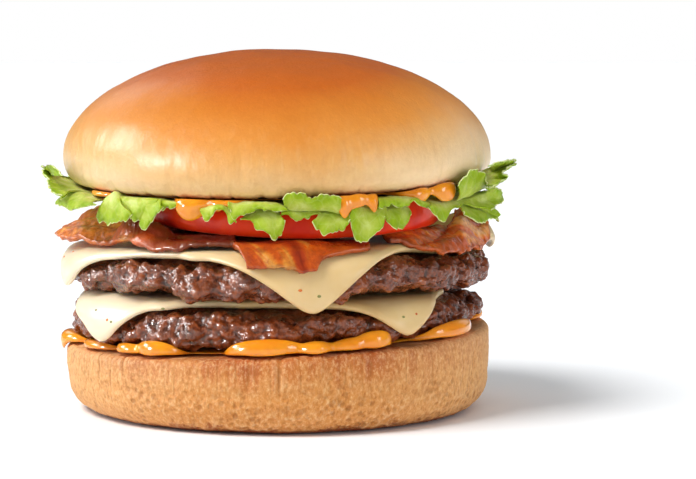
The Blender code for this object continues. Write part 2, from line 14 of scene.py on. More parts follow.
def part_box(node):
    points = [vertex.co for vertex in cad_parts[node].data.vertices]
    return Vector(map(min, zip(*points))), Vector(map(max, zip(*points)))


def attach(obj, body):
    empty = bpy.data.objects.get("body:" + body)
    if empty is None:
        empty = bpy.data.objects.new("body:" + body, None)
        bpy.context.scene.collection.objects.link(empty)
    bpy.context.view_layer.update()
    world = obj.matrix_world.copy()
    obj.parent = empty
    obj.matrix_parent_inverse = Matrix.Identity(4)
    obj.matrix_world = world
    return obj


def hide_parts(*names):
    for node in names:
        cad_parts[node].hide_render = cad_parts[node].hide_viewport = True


bl_info = {
    "name": "Double cheeseburger",
    "version": (1, 0, 0),
    "blender": (4, 5, 0),
    "location": "View3D > Sidebar > Burger",
    "description": "Builds a double cheeseburger with bacon, piece by piece",
    "category": "Object",
}

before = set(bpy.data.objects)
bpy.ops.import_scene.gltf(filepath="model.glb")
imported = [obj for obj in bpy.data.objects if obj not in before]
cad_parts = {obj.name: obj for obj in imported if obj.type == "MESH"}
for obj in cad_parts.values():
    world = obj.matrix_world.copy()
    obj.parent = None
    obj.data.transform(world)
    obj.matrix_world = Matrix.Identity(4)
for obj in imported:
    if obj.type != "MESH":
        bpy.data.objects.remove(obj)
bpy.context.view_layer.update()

MM = 0.001
GAP = 0.3
MERGE_WITHIN = 0.000001

# Points in a ring of each piece
HEEL_POINTS = 900
CROWN_POINTS = 384
PATTY_POINTS = 720
SLICE_POINTS = 480
TOMATO_POINTS = 320
LEAF_POINTS = 480
SAUCE_POINTS = 720

# The bun
HEEL_HEIGHT = 18.6
HEEL_FOOT = 45.0
HEEL_RIM_ROUND = 1.8
HEEL_BASE_ROUND = 8.5
CROWN_BASE = 55.6
CROWN_CUT_RADIUS = 48.3
CROWN_WIDEST = 62.2
CROWN_TOP = 88.8
CROWN_X = -0.4

# The beef
PATTY_BULGE = 5.6
PATTY_SQUARENESS = 2.3
LOWER_PATTY_TOP = 28.6
UPPER_PATTY_BOTTOM = 31.3
UPPER_PATTY_TOP = 40.6
RIM_BUMPS = ((37.0, 24.0, 1.1), (118.0, 36.0, 2.2))

# What lies between
CHEESE_GAP = 0.4
CHEESE_THICKNESS = 2.0
BACON_THICKNESS = 1.5
TOMATO_RADIUS = 37.0
TOMATO_X = 2.5
TOMATO_Y = -10.0
TOMATO_BOTTOM = 45.3
TOMATO_TOP = 2.7
UPPER_LEAF_MIDDLE = 1.5
LOWER_LEAF_MIDDLE = 2.2
LEAF_LIMIT = 47.6
LEAF_BEND = 2.34
LEAF_FALL = 0.4
LEAF_THICKNESS = 0.45
FRILL_THICKNESS = 0.42
FRILL_ROOT = 44.0
SIDE_CREASE = 50.6
SAUCE_THICKNESS = 0.9
SAUCE_START = 45.0

# Edge of each lettuce leaf: azimuth and radius
LOWER_LEAF_EDGE = (
    (-112, 54.0), (-100, 56.0), (-88, 55.0), (-79, 53.5), (-71, 54.5), (-62, 51.0), (-55, 50.6),
    (-49, 50.8), (-43, 50.6), (-39, 49.4), (-37, 50.2), (-34.5, 46.6), (-15, 46.6), (-13, 50.0),
    (-11, 49.8), (-8.5, 50.2), (-5, 50.3), (-1.5, 50.5), (1, 50.4), (4, 50.3), (7.5, 50.2), (11, 50.3),
    (14.5, 50.4), (18, 50.2), (20, 50.0), (23, 50.4), (26.5, 50.2), (30, 50.2), (34, 50.3), (37.5, 50.0),
    (40.5, 48.4), (44, 49.6), (47.5, 50.4), (52, 50.0), (60, 52.5), (68, 54.5), (76, 55.0), (83, 54.0),
    (90, 56.0), (100, 54.0),
)
UPPER_LEAF_EDGE = (
    (-110, 55.0), (-101, 54.5), (-93, 57.6), (-86, 55.4), (-78, 53.6), (-69, 53.4), (-62, 50.4),
    (-52, 50.0), (-47, 51.4), (-40, 51.6), (-37, 50.4), (-34.5, 46.6), (-15, 46.6), (-12.5, 50.6),
    (-9, 51.4), (-4, 52.0), (1, 52.0), (4.5, 53.2), (7.5, 52.8), (10.5, 53.4), (12.3, 48.6), (20, 48.6),
    (29, 48.6), (31.5, 51.4), (34, 48.8), (40, 48.6), (48, 48.6), (57, 48.8), (60.5, 54.0), (64, 55.0),
    (70, 55.6), (77, 56.0), (84, 57.4), (91, 58.6), (99, 55.0), (107, 56.0),
)

# Sauce that shows: azimuth and half width, outer radius, and how far it falls and rises past its layer
UPPER_SAUCE_BLOBS = (
    (-57, 9.0, 52.3, 1.0, 1.2), (-24.7, 6.4, 52.4, 5.0, 0.6), (-15.0, 8.0, 51.4, 2.4, 0.4),
    (20.5, 7.0, 52.8, 2.4, 1.6), (16.6, 3.4, 53.2, 5.4, 1.4), (24.8, 3.0, 53.2, 4.4, 1.2),
    (40, 7.0, 52.6, 2.4, 1.4), (49.4, 8.0, 53.6, 3.2, 2.2), (166, 8.0, 52.0, 0.0, 1.0),
    (-138, 9.0, 52.0, 0.0, 1.0),
)
LOWER_SAUCE_BLOBS = (
    (-85, 10.0, 54.9, 2.8, 3.2), (-63, 11.0, 52.2, 0.0, 2.4), (-46, 7.0, 52.0, 0.0, 3.0),
    (-36, 8.0, 52.6, 0.0, 4.2), (-4, 12.5, 52.7, 0.0, 4.6), (9.5, 6.0, 52.8, 0.0, 3.4),
    (20, 8.0, 52.2, 0.0, 3.6), (26, 7.5, 52.6, 0.0, 5.0), (56, 15.0, 52.9, 0.0, 4.4),
    (98, 10.0, 52.0, 0.0, 2.6), (138, 13.0, 51.9, 0.0, 3.4), (-168, 11.0, 52.0, 0.0, 3.0),
    (-125, 12.0, 51.8, 0.0, 3.2),
)

# Each cheese slice: its turn, how far its sides lie out, and its runs as (azimuth, half width, length)
LOWER_CHEESE = {
    "corner": 37.5,
    "sides": (40.8, 43.1, 45.6, 43.0),
    "runs": (
        (-33.0, 7.0, 1.4), (-12.0, 8.0, 0.8), (70.0, 12.0, 0.8),
        (150.0, 14.0, 1.4), (-120.0, 12.0, 1.2), (-68.0, 12.0, 2.0),
    ),
}
UPPER_CHEESE = {
    "corner": 10.4,
    "sides": (45.8, 44.0, 41.5, 49.2),
    "runs": (
        (-48.0, 8.0, 0.7), (-24.0, 6.0, 0.9), (97.0, 26.0, -1.4),
        (140.0, 12.0, 1.3), (-150.0, 10.0, 1.0), (-80.0, 14.0, -1.4),
    ),
}

# The view: the camera's distance, height and pitch, then its picture's width, lens, axis and horizon
VIEW_AWAY = 600.0
VIEW_HEIGHT = 92.0
VIEW_PITCH = 4.83
VIEW_WIDTH = 696.0
VIEW_LENS = 2405.0
VIEW_AXIS = 279.4
VIEW_HORIZON = 36.3

# Each frill: radius at its crease and edge, then where both are seen, as (across, down, across, down)
FRONT_FRILLS = (
    (52.4, 57.0, (
        (97, 200, 96, 204), (90, 197, 84, 206), (85, 195, 73, 209), (80, 192, 64, 206),
        (76, 190, 57, 203),
    )),
    (53.0, 58.4, (
        (77, 190, 62, 199), (73, 188, 53, 188), (70, 186, 49, 180), (66, 182, 45, 167),
        (64, 178, 54, 166), (63, 176, 61, 175),
    )),
    (50.6, 52.4, (
        (111, 194, 100, 209), (113, 193, 98, 217), (115, 192, 104, 222), (117, 193, 113, 223),
        (119, 195, 124, 220), (121, 198, 132, 214),
    )),
    (50.2, 50.8, (
        (118, 197, 124, 213), (128, 197, 134, 219), (138, 198, 142, 218), (149, 198, 150, 210),
        (160, 199, 158, 203),
    )),
    (50.0, 50.6, (
        (156, 199, 156, 203), (163, 200, 163, 207), (170, 201, 170, 206), (178, 202, 178, 204),
    )),
    (50.4, 52.2, (
        (152, 200, 141, 219), (155, 199, 140, 226), (158, 199, 145, 228), (161, 199, 153, 219),
        (162, 200, 163, 207),
    )),
    (50.4, 51.8, (
        (201, 208, 201, 212), (206, 208, 206, 219), (211, 206, 211, 216), (216, 205, 216, 209),
        (222, 205, 222, 209), (227, 207, 227, 215), (231, 209, 230, 221), (236, 211, 236, 222),
    )),
    (50.4, 52.2, (
        (228, 202, 229, 207), (236, 203, 234, 218), (244, 202, 241, 215), (252, 202, 249, 212),
        (260, 202, 257, 210), (270, 203, 267, 210), (279, 204, 279, 211), (284, 207, 288, 210),
    )),
    (49.8, 51.6, (
        (244, 216, 240, 219), (250, 215, 252, 221), (256, 213, 256, 228), (262, 212, 265, 232),
        (268, 212, 273, 238), (273, 212, 279, 237), (277, 213, 283, 229), (280, 214, 284, 219),
    )),
    (50.6, 52.9, (
        (284, 206, 283, 200), (289, 210, 287, 195), (297, 210, 296, 193), (305, 210, 304, 194),
        (314, 210, 310, 198), (321, 210, 317, 196), (331, 211, 329, 195), (339, 213, 341, 198),
    )),
    (49.6, 50.6, (
        (281, 211, 281, 214), (290, 211, 289, 214), (300, 211, 298, 220), (310, 211, 308, 216),
        (320, 212, 318, 213),
    )),
    (50.0, 51.9, (
        (318, 214, 312, 221), (324, 214, 316, 227), (331, 214, 324, 233), (338, 213, 333, 231),
        (345, 211, 343, 229), (351, 209, 350, 219),
    )),
    (50.2, 52.2, (
        (351, 204, 350, 214), (356, 206, 352, 229), (362, 207, 356, 241), (368, 207, 366, 241),
        (374, 206, 374, 233), (380, 204, 382, 226), (385, 203, 385, 216),
    )),
    (49.9, 51.7, (
        (386, 209, 384, 216), (391, 208, 388, 222), (397, 208, 395, 228), (403, 207, 406, 228),
        (408, 208, 410, 213),
    )),
    (50.8, 52.3, (
        (376, 198, 378, 207), (385, 198, 386, 207), (393, 197, 392, 204), (401, 197, 399, 208),
        (409, 197, 407, 205), (414, 198, 412, 200), (420, 200, 419, 205), (428, 203, 429, 208),
    )),
    (51.2, 52.8, (
        (429, 203, 427, 207), (437, 203, 433, 213), (445, 202, 443, 221), (452, 201, 449, 213),
        (459, 200, 458, 205),
    )),
    (52.2, 55.0, (
        (456, 200, 457, 186), (462, 198, 462, 178), (468, 196, 469, 172), (474, 193, 475, 169),
        (480, 190, 482, 174), (484, 188, 486, 185),
    )),
    (51.8, 56.6, (
        (462, 204, 490, 209), (465, 201, 503, 200), (469, 198, 502, 193), (475, 195, 496, 188),
        (481, 192, 487, 188),
    )),
    (51.4, 55.6, (
        (456, 206, 464, 211), (459, 206, 472, 218), (462, 205, 480, 223), (465, 204, 493, 218),
        (468, 203, 500, 221), (471, 202, 496, 209),
    )),
    (53.6, 58.8, (
        (485, 186, 491, 188), (486, 182, 506, 178), (487, 178, 503, 171), (487, 174, 515, 161),
        (488, 171, 503, 161), (488, 168, 490, 166),
    )),
)

# Where flecks are seen in the cheese: across, down and whether orange
SEEN_FLECKS = (
    (319, 297, False), (95, 310, False), (162, 309, False), (106, 320, True), (417, 315, True),
    (110, 322, False), (300, 291, True), (404, 318, False),
)


def ease(t):
    """A smooth step from 0 to 1."""
    t = np.clip(t, 0.0, 1.0)
    return t * t * (3.0 - 2.0 * t)


def sin_deg(a):
    return np.sin(np.radians(a))


def cos_deg(a):
    return np.cos(np.radians(a))


def at(azimuth, radius):
    """The plan point at an azimuth and a radius."""
    return radius * sin_deg(azimuth), -radius * cos_deg(azimuth)


def turn_between(azimuth, middle):
    """How far an azimuth lies from another, from -180 to 180."""
    return (azimuth - middle + 180.0) % 360.0 - 180.0


def heel_top(x, y):
    """Height of the heel's cut face."""
    return HEEL_HEIGHT + 0.040 * x + 0.006 * y


def crown_bottom(x, y):
    """Height of the crown's cut face."""
    return CROWN_BASE + 0.020 * x + 0.016 * y + 0.0005 * x * x


def lower_patty(azimuth):
    """Radius, height of the underside at the middle and rim, and of the top at the middle and rim."""
    uneven = 0.3 * np.sin(3 * np.radians(azimuth) + 1.0)
    radius = 50.5 - cos_deg(2 * azimuth) + uneven - 0.5 * sin_deg(azimuth)
    rest = heel_top(*at(azimuth, radius))
    level = np.zeros_like(radius)
    top = level + LOWER_PATTY_TOP
    return radius, level + HEEL_HEIGHT + 1.5, rest + 1.3, top, top - 0.3


def upper_patty(azimuth):
    """The same five measures as for the lower patty."""
    uneven = 0.3 * np.sin(3 * np.radians(azimuth) + 2.0)
    radius = 51.9 + 0.7 * sin_deg(azimuth) ** 2 + uneven - 0.3 * sin_deg(azimuth)
    sag = np.abs(sin_deg(azimuth)) ** 1.5
    high = UPPER_PATTY_TOP - 1.6 * sag
    for middle, half, height in RIM_BUMPS:
        high = high + height * ease(1.0 - np.abs(turn_between(azimuth, middle)) / half)
    droop = 0.2 * sag + 0.8 * ease((49.5 - slice_reach(LOWER_CHEESE, azimuth)) / 3.5)
    level = np.zeros_like(radius)
    return radius, level + UPPER_PATTY_BOTTOM, UPPER_PATTY_BOTTOM - droop, level + UPPER_PATTY_TOP, high


def outline_at(patty, azimuth):
    """A patty's five measures at one azimuth."""
    return [float(value) for value in patty(np.float64(azimuth))]


def face_height(r, rim_radius, middle, rim):
    """Height of a patty's face, level at first and eased to its rim."""
    return middle + (rim - middle) * ease((r - 25.0) / (rim_radius - 25.0))


def bulge(outline, turn, grown=0.0):
    """A point on a patty's rounded edge, turn degrees above its widest line, moved out by grown."""
    radius, _, low, _, high = outline
    middle, half = (low + high) / 2, (high - low) / 2
    c, s = cos_deg(turn), sin_deg(turn)
    power = 2.0 / PATTY_SQUARENESS
    out = (PATTY_BULGE + grown) * np.abs(c) ** power
    up = (half + grown) * np.sign(s) * np.abs(s) ** power
    return radius - PATTY_BULGE + out, middle + up


def slice_reach(cheese, azimuth):
    """Length from the stack's axis to the edge of a square slice with rounded corners."""
    total = 0.0
    for k, distance in enumerate(cheese["sides"]):
        facing = np.maximum(cos_deg(azimuth - cheese["corner"] - 45.0 - 90.0 * k), 0.0)
        total = total + (facing / distance) ** 14.0
    return total ** (-1.0 / 14.0)


def lengths_along(path):
    """How far along a path each of its points lies."""
    return np.concatenate([[0.0], np.cumsum(np.linalg.norm(np.diff(path, axis=0), axis=1))])


def drape(outline, along, offset):
    """Where a limp sheet, an offset off a patty, lies that has run some lengths over it from its middle."""
    radius, _, _, top, high = outline
    rim = radius - PATTY_BULGE
    flat = np.linspace(0.0, rim - 0.5, 24)
    edge = bulge(outline, np.linspace(86.0, 0.0, 14))
    path = np.vstack([np.array([flat, face_height(flat, rim, top, high)]).T, np.array(edge).T])
    path = np.vstack([path, path[-1] - (0.0, 30.0)])
    run = np.gradient(path, axis=0)
    run[-2:] = (0.0, -1.0)
    run /= np.linalg.norm(run, axis=1)[:, None]
    path += offset * np.stack([-run[:, 1], run[:, 0]], axis=1)
    length = lengths_along(path)
    return [np.interp(along, length, path[:, i]) for i in (0, 1)]


def grain(points, size, seed):
    """Smooth noise at points in millimetres, about -0.6 to 0.6, with lumps of the given size."""
    places = np.asarray(points) / size + (seed * 7.3, seed * 3.1, seed * 5.7)
    return np.array([noise.noise(Vector(place)) for place in places])


def side_grain(azimuth, height, size, seed):
    """Grain on a round side, as if the side was laid out flat."""
    return grain(np.stack([azimuth, height, 0 * azimuth], axis=1), size, seed)


def wander(x, y, z):
    """Smooth noise at one place."""
    return noise.noise(Vector((x, y, z)))


def furrow(values, half):
    """A groove along a pattern's zero line: 1 on the line, and 0 from half on."""
    return ease((half - np.abs(values)) / half)


def turn_of(points):
    """The azimuths of points."""
    return np.degrees(np.arctan2(points[:, 0], -points[:, 1]))


def away_from_axis(points):
    """How far points lie from the stack's axis."""
    return np.hypot(points[:, 0], points[:, 1])


def start_object():
    """Leaves edit mode with nothing selected."""
    if bpy.context.object and bpy.context.object.mode != "OBJECT":
        bpy.ops.object.mode_set(mode="OBJECT")
    bpy.ops.object.select_all(action="DESELECT")


def hold(piece):
    """Selects a piece alone and makes it the active one."""
    start_object()
    piece.select_set(True)
    bpy.context.view_layer.objects.active = piece


def edit_all(piece):
    """Opens a piece in edit mode with all of it selected."""
    hold(piece)
    bpy.ops.object.mode_set(mode="EDIT")
    bpy.ops.mesh.select_all(action="SELECT")


def read_points(piece):
    points = np.zeros(len(piece.data.vertices) * 3, np.float32)
    piece.data.vertices.foreach_get("co", points)
    return points.reshape(-1, 3).astype(float)


def write_points(piece, points):
    piece.data.vertices.foreach_set("co", np.asarray(points, np.float32).ravel())
    piece.data.update()


def read_normals(piece):
    normals = np.zeros(len(piece.data.vertices) * 3, np.float32)
    piece.data.vertex_normals.foreach_get("vector", normals)
    return normals.reshape(-1, 3).astype(float)


def press(piece, depth):
    """Moves each point of a piece inwards by its depth in millimetres."""
    points = read_points(piece) / MM
    write_points(piece, (points - read_normals(piece) * depth[:, None]) * MM)


def store(piece, name, values):
    """Stores a number at each point of a piece, for its finish to read."""
    kept = piece.data.attributes.new(name, "FLOAT", "POINT")
    kept.data.foreach_set("value", values.astype(np.float32))


def place_primitive(piece, name):
    """Names a new primitive and moves its place, turn and scale into its mesh."""
    piece.name = name
    piece.data.name = name
    bpy.ops.object.transform_apply(location=True, rotation=True, scale=True)
    return piece


def boxed_grid(name, node, columns, rows, mapped):
    """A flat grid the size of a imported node's box, and how far across and along it each point lies."""
    start_object()
    low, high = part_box(node)
    centre, half = (low + high) / 2, (high - low) / 2
    bpy.ops.mesh.primitive_grid_add(
        x_subdivisions=columns, y_subdivisions=rows, size=2.0, location=centre, calc_uvs=mapped
    )
    bpy.context.object.scale = half
    piece = place_primitive(bpy.context.object, name)
    unit = (read_points(piece) - np.array(centre)) / np.array(half)
    return piece, (unit[:, 0] + 1.0) / 2.0, (unit[:, 1] + 1.0) / 2.0


def rolled_grid(name, node, segments, rings):
    """A flat grid with the segment and ring that each point will have.

    It is rolled up round the axis and closed at the seam and at both ends once its points are placed.
    """
    piece, u, v = boxed_grid(name, node, segments, rings, False)
    return piece, np.rint(u * segments).astype(int) % segments, np.rint(v * rings).astype(int)


def close_up(piece):
    """Merges the points that lie on each other along the seam and at both ends."""
    edit_all(piece)
    bpy.ops.mesh.remove_doubles(threshold=MERGE_WITHIN)
    bpy.ops.mesh.normals_make_consistent(inside=False)
    bpy.ops.object.mode_set(mode="OBJECT")


def round_piece(name, node, rows, middle=(0.0, 0.0)):
    """A closed round piece drawn to rows of (radius, height), one row a ring from the bottom to the top."""
    radius = np.array([row[0] for row in rows])
    height = np.array([row[1] for row in rows])
    segments = radius.shape[1]
    piece, segment, ring = rolled_grid(name, node, segments, len(rows) - 1)
    x, y = at(segment * 360.0 / segments, radius[ring, segment])
    points = np.stack([x + middle[0], y + middle[1], height[ring, segment]], axis=1)
    write_points(piece, points * MM)
    close_up(piece)
    return piece


def sheet_piece(name, node, middle_rows, thick_rows, sharing=None):
    """A thin round solid about a middle surface, given as rows of points from the axis to the edge."""
    middle = np.array(middle_rows)
    thick = np.array(thick_rows)
    out = np.gradient(middle, axis=0)
    around = np.roll(middle, -1, axis=1) - np.roll(middle, 1, axis=1)
    normal = np.cross(around, out)
    normal[0] = normal[1].mean(axis=0)
    normal /= np.linalg.norm(normal, axis=2)[:, :, None] + 1e-9
    normal *= np.sign(normal[1, :, 2].sum())
    steps, segments = middle.shape[0], middle.shape[1]
    piece, segment, ring = rolled_grid(name, node, segments, 2 * (steps - 1))
    step = np.where(ring < steps, ring, 2 * (steps - 1) - ring)
    side = np.where(ring < steps, -0.5, 0.5)
    offset = (side * thick[step, segment])[:, None] * normal[step, segment]
    write_points(piece, (middle[step, segment] + offset) * MM)
    if sharing:
        store(piece, sharing, step / (steps - 1.0))
    close_up(piece)
    return piece


def ribbon_piece(name, node, columns, rows, shape, thickness):
    """A strip shaped by (u, v), with its thickness and with its flat map kept for the grain."""
    piece, u, v = boxed_grid(name, node, columns, rows, True)
    places = zip(np.clip(u, 0, 1), np.clip(v, 0, 1))
    write_points(piece, np.array([shape(*place) for place in places]) * MM)
    thicken(piece, thickness)
    return piece


def thicken(piece, thickness):
    """Gives a sheet its thickness in millimetres, half of it on each side."""
    wall = piece.modifiers.new("thickness", "SOLIDIFY")
    wall.thickness = thickness * MM
    wall.offset = 0.0
    wall.use_even_offset = False
    apply_modifiers(piece)


def apply_modifiers(piece):
    hold(piece)
    for modifier in list(piece.modifiers):
        bpy.ops.object.modifier_apply(modifier=modifier.name)


def weigh(piece, name, weights):
    """Gives a piece a group that says how much each point takes part."""
    group = piece.vertex_groups.new(name=name)
    for index, weight in enumerate(np.clip(weights, 0.0, 1.0)):
        if weight > 0.001:
            group.add([index], float(weight), "REPLACE")


def roughen(piece, kind, size, depth, group="", level=0.5, **pattern_values):
    """Pushes a surface in and out by a pattern with the given size and depth."""
    pattern = bpy.data.textures.new(piece.name + "_" + kind.lower(), kind)
    pattern.noise_scale = size * MM
    for key, value in pattern_values.items():
        setattr(pattern, key, value)
    relief = piece.modifiers.new("relief", "DISPLACE")
    relief.texture = pattern
    relief.texture_coords = "LOCAL"
    relief.strength = depth * MM
    relief.mid_level = level
    relief.vertex_group = group
    apply_modifiers(piece)
    bpy.data.textures.remove(pattern)


def mark_hollows(piece, times, deepest):
    """Stores how far each point lies below its smoothed surroundings, from 0 for proud to 1 for deep; the
    finishes paint shade into the deep points from it, and the heel's and the beef's paint light onto the
    proud ones.
    """
    points = read_points(piece)
    edges = np.zeros(len(piece.data.edges) * 2, np.int32)
    piece.data.edges.foreach_get("vertices", edges)
    first, last = edges.reshape(-1, 2).T
    count = np.bincount(first, minlength=len(points)) + np.bincount(last, minlength=len(points))
    smooth = points.copy()
    for _ in range(times):
        total = np.empty_like(points)
        for i in range(3):
            total[:, i] = np.bincount(first, smooth[last, i], len(points))
            total[:, i] += np.bincount(last, smooth[first, i], len(points))
        smooth = 0.5 * smooth + 0.5 * total / count[:, None]
    below = ((smooth - points) * read_normals(piece)).sum(axis=1) / (deepest * MM)
    store(piece, "hollow", np.clip(0.5 + 0.5 * below, 0.0, 1.0))


def soften(piece, times):
    """Relaxes a piece's surface, as by the smooth tool."""
    edit_all(piece)
    bpy.ops.mesh.vertices_smooth(factor=0.5, repeat=times)
    bpy.ops.object.mode_set(mode="OBJECT")


def finish_piece(piece, finish, node):
    """Turns a piece's faces outwards, smooths its shading, gives it its finish and puts it on the body."""
    edit_all(piece)
    bpy.ops.mesh.normals_make_consistent(inside=False)
    bpy.ops.object.mode_set(mode="OBJECT")
    bpy.ops.object.shade_smooth()
    piece.vertex_groups.clear()
    piece.data.materials.clear()
    piece.data.materials.append(finish)
    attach(piece, "root")
    if node:
        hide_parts(node)
    return piece


class Wiring:
    """A node tree, with a short way to add nodes and feed their inputs."""

    def __init__(self, tree):
        self.tree = tree

    def feed(self, socket, value):
        """Joins an output to a socket, or sets the socket's own value."""
        if isinstance(value, bpy.types.NodeSocket):
            self.tree.links.new(value, socket)
        else:
            socket.default_value = value

    def add(self, kind, inputs=(), **values):
        """Adds a node, feeds some of its inputs and sets some of its own values."""
        node = self.tree.nodes.new("ShaderNode" + kind)
        for key, value in values.items():
            setattr(node, key, value)
        for key, value in dict(inputs).items():
            self.feed(node.inputs[key], value)
        return node

    def ramp(self, value, stops):
        """Turns a value into a colour, by stops of (position, colour)."""
        node = self.add("ValToRGB", {"Fac": value})
        elements = node.color_ramp.elements
        while len(elements) < len(stops):
            elements.new(0.5)
        for element, (position, colour) in zip(elements, stops):
            element.position = position
            element.color = (*colour, 1.0)
        return node.outputs["Color"]


class Finish(Wiring):
    """A material, with short ways to add the patterns and sums that this file uses."""

    def __init__(self, name, **shader_values):
        self.material = bpy.data.materials.new(name)
        self.material.use_nodes = True
        super().__init__(self.material.node_tree)
        self.shader = self.tree.nodes["Principled BSDF"]
        for key, value in shader_values.items():
            self.shader_input(key).default_value = value
        self.place = self.add("TexCoord").outputs["Object"]

    def shader_input(self, key):
        """The shader's socket for a key such as coat_roughness."""
        return self.shader.inputs[key.replace("_", " ").title().replace("Ior", "IOR")]

    def stored(self, name):
        """A number that the piece stores at each of its points."""
        return self.add("Attribute", attribute_name=name).outputs["Fac"]

    def axes(self, place=None):
        return self.add("SeparateXYZ", {"Vector": place or self.place}).outputs

    def stretched(self, scale, place=None):
        """The place, stretched by a scale on each axis."""
        mapping = self.add("Mapping", {"Vector": place or self.place, "Scale": scale})
        return mapping.outputs["Vector"]

    def millimetres(self, up):
        """The place in millimetres, with its height scaled to draw a pattern out upright."""
        return self.stretched((1.0 / MM, 1.0 / MM, up / MM))

    def noise(self, size, detail=3.0, roughness=0.5, place=None, distortion=0.0):
        """Noise with features of a size in millimetres, or in the place's own unit if one is given."""
        scale = 1.0 / (size * MM) if place is None else 1.0 / size
        inputs = {"Vector": place or self.place, "Scale": scale, "Detail": detail}
        inputs.update({"Roughness": roughness, "Distortion": distortion})
        return self.add("TexNoise", inputs).outputs["Fac"]

    def cells(self, per_metre, feature="F1"):
        """Distances in a pattern of cells."""
        inputs = {"Vector": self.place, "Scale": per_metre}
        return self.add("TexVoronoi", inputs, feature=feature).outputs["Distance"]

    def spread(self, value, low, high, to_low=0.0, to_high=1.0):
        """Maps a range of values to another, and stops at its ends."""
        inputs = {"Value": value, "From Min": low, "From Max": high, "To Min": to_low, "To Max": to_high}
        return self.add("MapRange", inputs).outputs["Result"]

    def mix(self, share, first, second, blend="MIX"):
        """Mixes two colours, each an output or three numbers."""
        colours = [c if isinstance(c, bpy.types.NodeSocket) else (*c, 1.0) for c in (first, second)]
        inputs = {0: share, 6: colours[0], 7: colours[1]}
        return self.add("Mix", inputs, data_type="RGBA", blend_type=blend).outputs[2]

    def maths(self, operation, first, second=0.0):
        return self.add("Math", {0: first, 1: second}, operation=operation).outputs["Value"]

    def plus(self, first, second):
        return self.maths("ADD", first, second)

    def minus(self, first, second):
        return self.maths("SUBTRACT", first, second)

    def times(self, first, second):
        return self.maths("MULTIPLY", first, second)

    def unsigned(self, value):
        return self.maths("ABSOLUTE", value)

    def bump(self, height, distance, strength=1.0, under=None):
        """Relief of a depth in millimetres, over another relief if one is given."""
        inputs = {"Height": height, "Distance": distance * MM, "Strength": strength}
        if under is not None:
            inputs["Normal"] = under
        return self.add("Bump", inputs).outputs["Normal"]

    def connect(self, **sockets):
        """Feeds the shader and gives the finished material."""
        for key, value in sockets.items():
            self.feed(self.shader_input(key), value)
        return self.material


def crust_finish(settings):
    """The crown's glazed crust, dark on top and pale down the sides, with painted fill light on its shaded
    lower flanks and a thin dark line at the cut.
    """
    f = Finish(
        "crown_crust", roughness=0.42, coat_weight=0.34, coat_roughness=0.36, specular_ior_level=0.2,
        subsurface_weight=0.08, subsurface_radius=(0.004, 0.002, 0.001),
    )
    across, height = f.axes()["X"], f.axes()["Z"]
    lifted = f.plus(height, f.times(f.minus(f.noise(26.0), 0.5), 0.010))
    sideways = f.spread(f.unsigned(f.plus(across, 0.004)), 0.010, 0.048, 0.05, -0.22)
    crust = f.ramp(
        f.plus(f.spread(lifted, 0.055, 0.089), sideways),
        (
            (0.0, (0.76, 0.49, 0.22)),
            (0.10, (0.78, 0.48, 0.19)),
            (0.25, (0.74, 0.36, 0.095)),
            (0.42, (0.70, 0.26, 0.040)),
            (0.58, (0.64, 0.20, 0.020)),
            (0.78, (0.57, 0.125, 0.007)),
            (1.0, settings.crown_colour),
        ),
    )
    # Painted fill light: the lower right flank is paled as if lit by light bounced off the floor.
    painted_fill_low_right = f.times(f.spread(across, 0.018, 0.050), f.spread(lifted, 0.072, 0.058))
    crust = f.mix(painted_fill_low_right, crust, (0.95, 0.72, 0.44))
    # Painted fill light: both lower flanks just above the cut are paled where they lie in shade.
    under = f.times(f.spread(f.unsigned(across), 0.024, 0.046), f.spread(lifted, 0.066, 0.058, 0.0, 0.7))
    crust = f.mix(under, crust, (0.95, 0.72, 0.44))
    specks = f.spread(f.noise(1.6, 4.0, 0.7), 0.35, 0.75, 0.0, 0.35)
    crust = f.mix(0.35, crust, f.mix(specks, crust, (0.42, 0.13, 0.03), "MULTIPLY"))
    cut = f.plus(f.times(across, 0.020), f.times(f.times(across, across), 0.5))
    edge = f.minus(f.minus(height, 0.0549), cut)
    ragged = f.plus(edge, f.spread(f.noise(3.0), 0.3, 0.7, -0.0004, 0.0004))
    crust = f.mix(f.spread(ragged, 0.0002, 0.0011, 0.85, 0.0), crust, (0.34, 0.07, 0.015))
    low = f.spread(height, 0.074, 0.062)
    upright = f.noise(1.5, 3.0, 0.65, f.millimetres(0.2))
    streaks = f.times(f.spread(upright, 0.50, 0.72), low)
    crust = f.mix(f.times(streaks, 0.14), crust, (0.93, 0.66, 0.34))
    skin = f.bump(f.noise(0.7, 3.0, 0.6), 0.14, 0.7)
    skin = f.bump(f.times(upright, low), 0.16, 0.8, skin)
    skin = f.bump(f.noise(3.2), 0.30, 0.5, skin)
    rough = f.spread(f.noise(9.0, 4.0, 0.6), 0.3, 0.7, 0.30, 0.44)
    return f.connect(base_color=crust, normal=skin, roughness=rough)


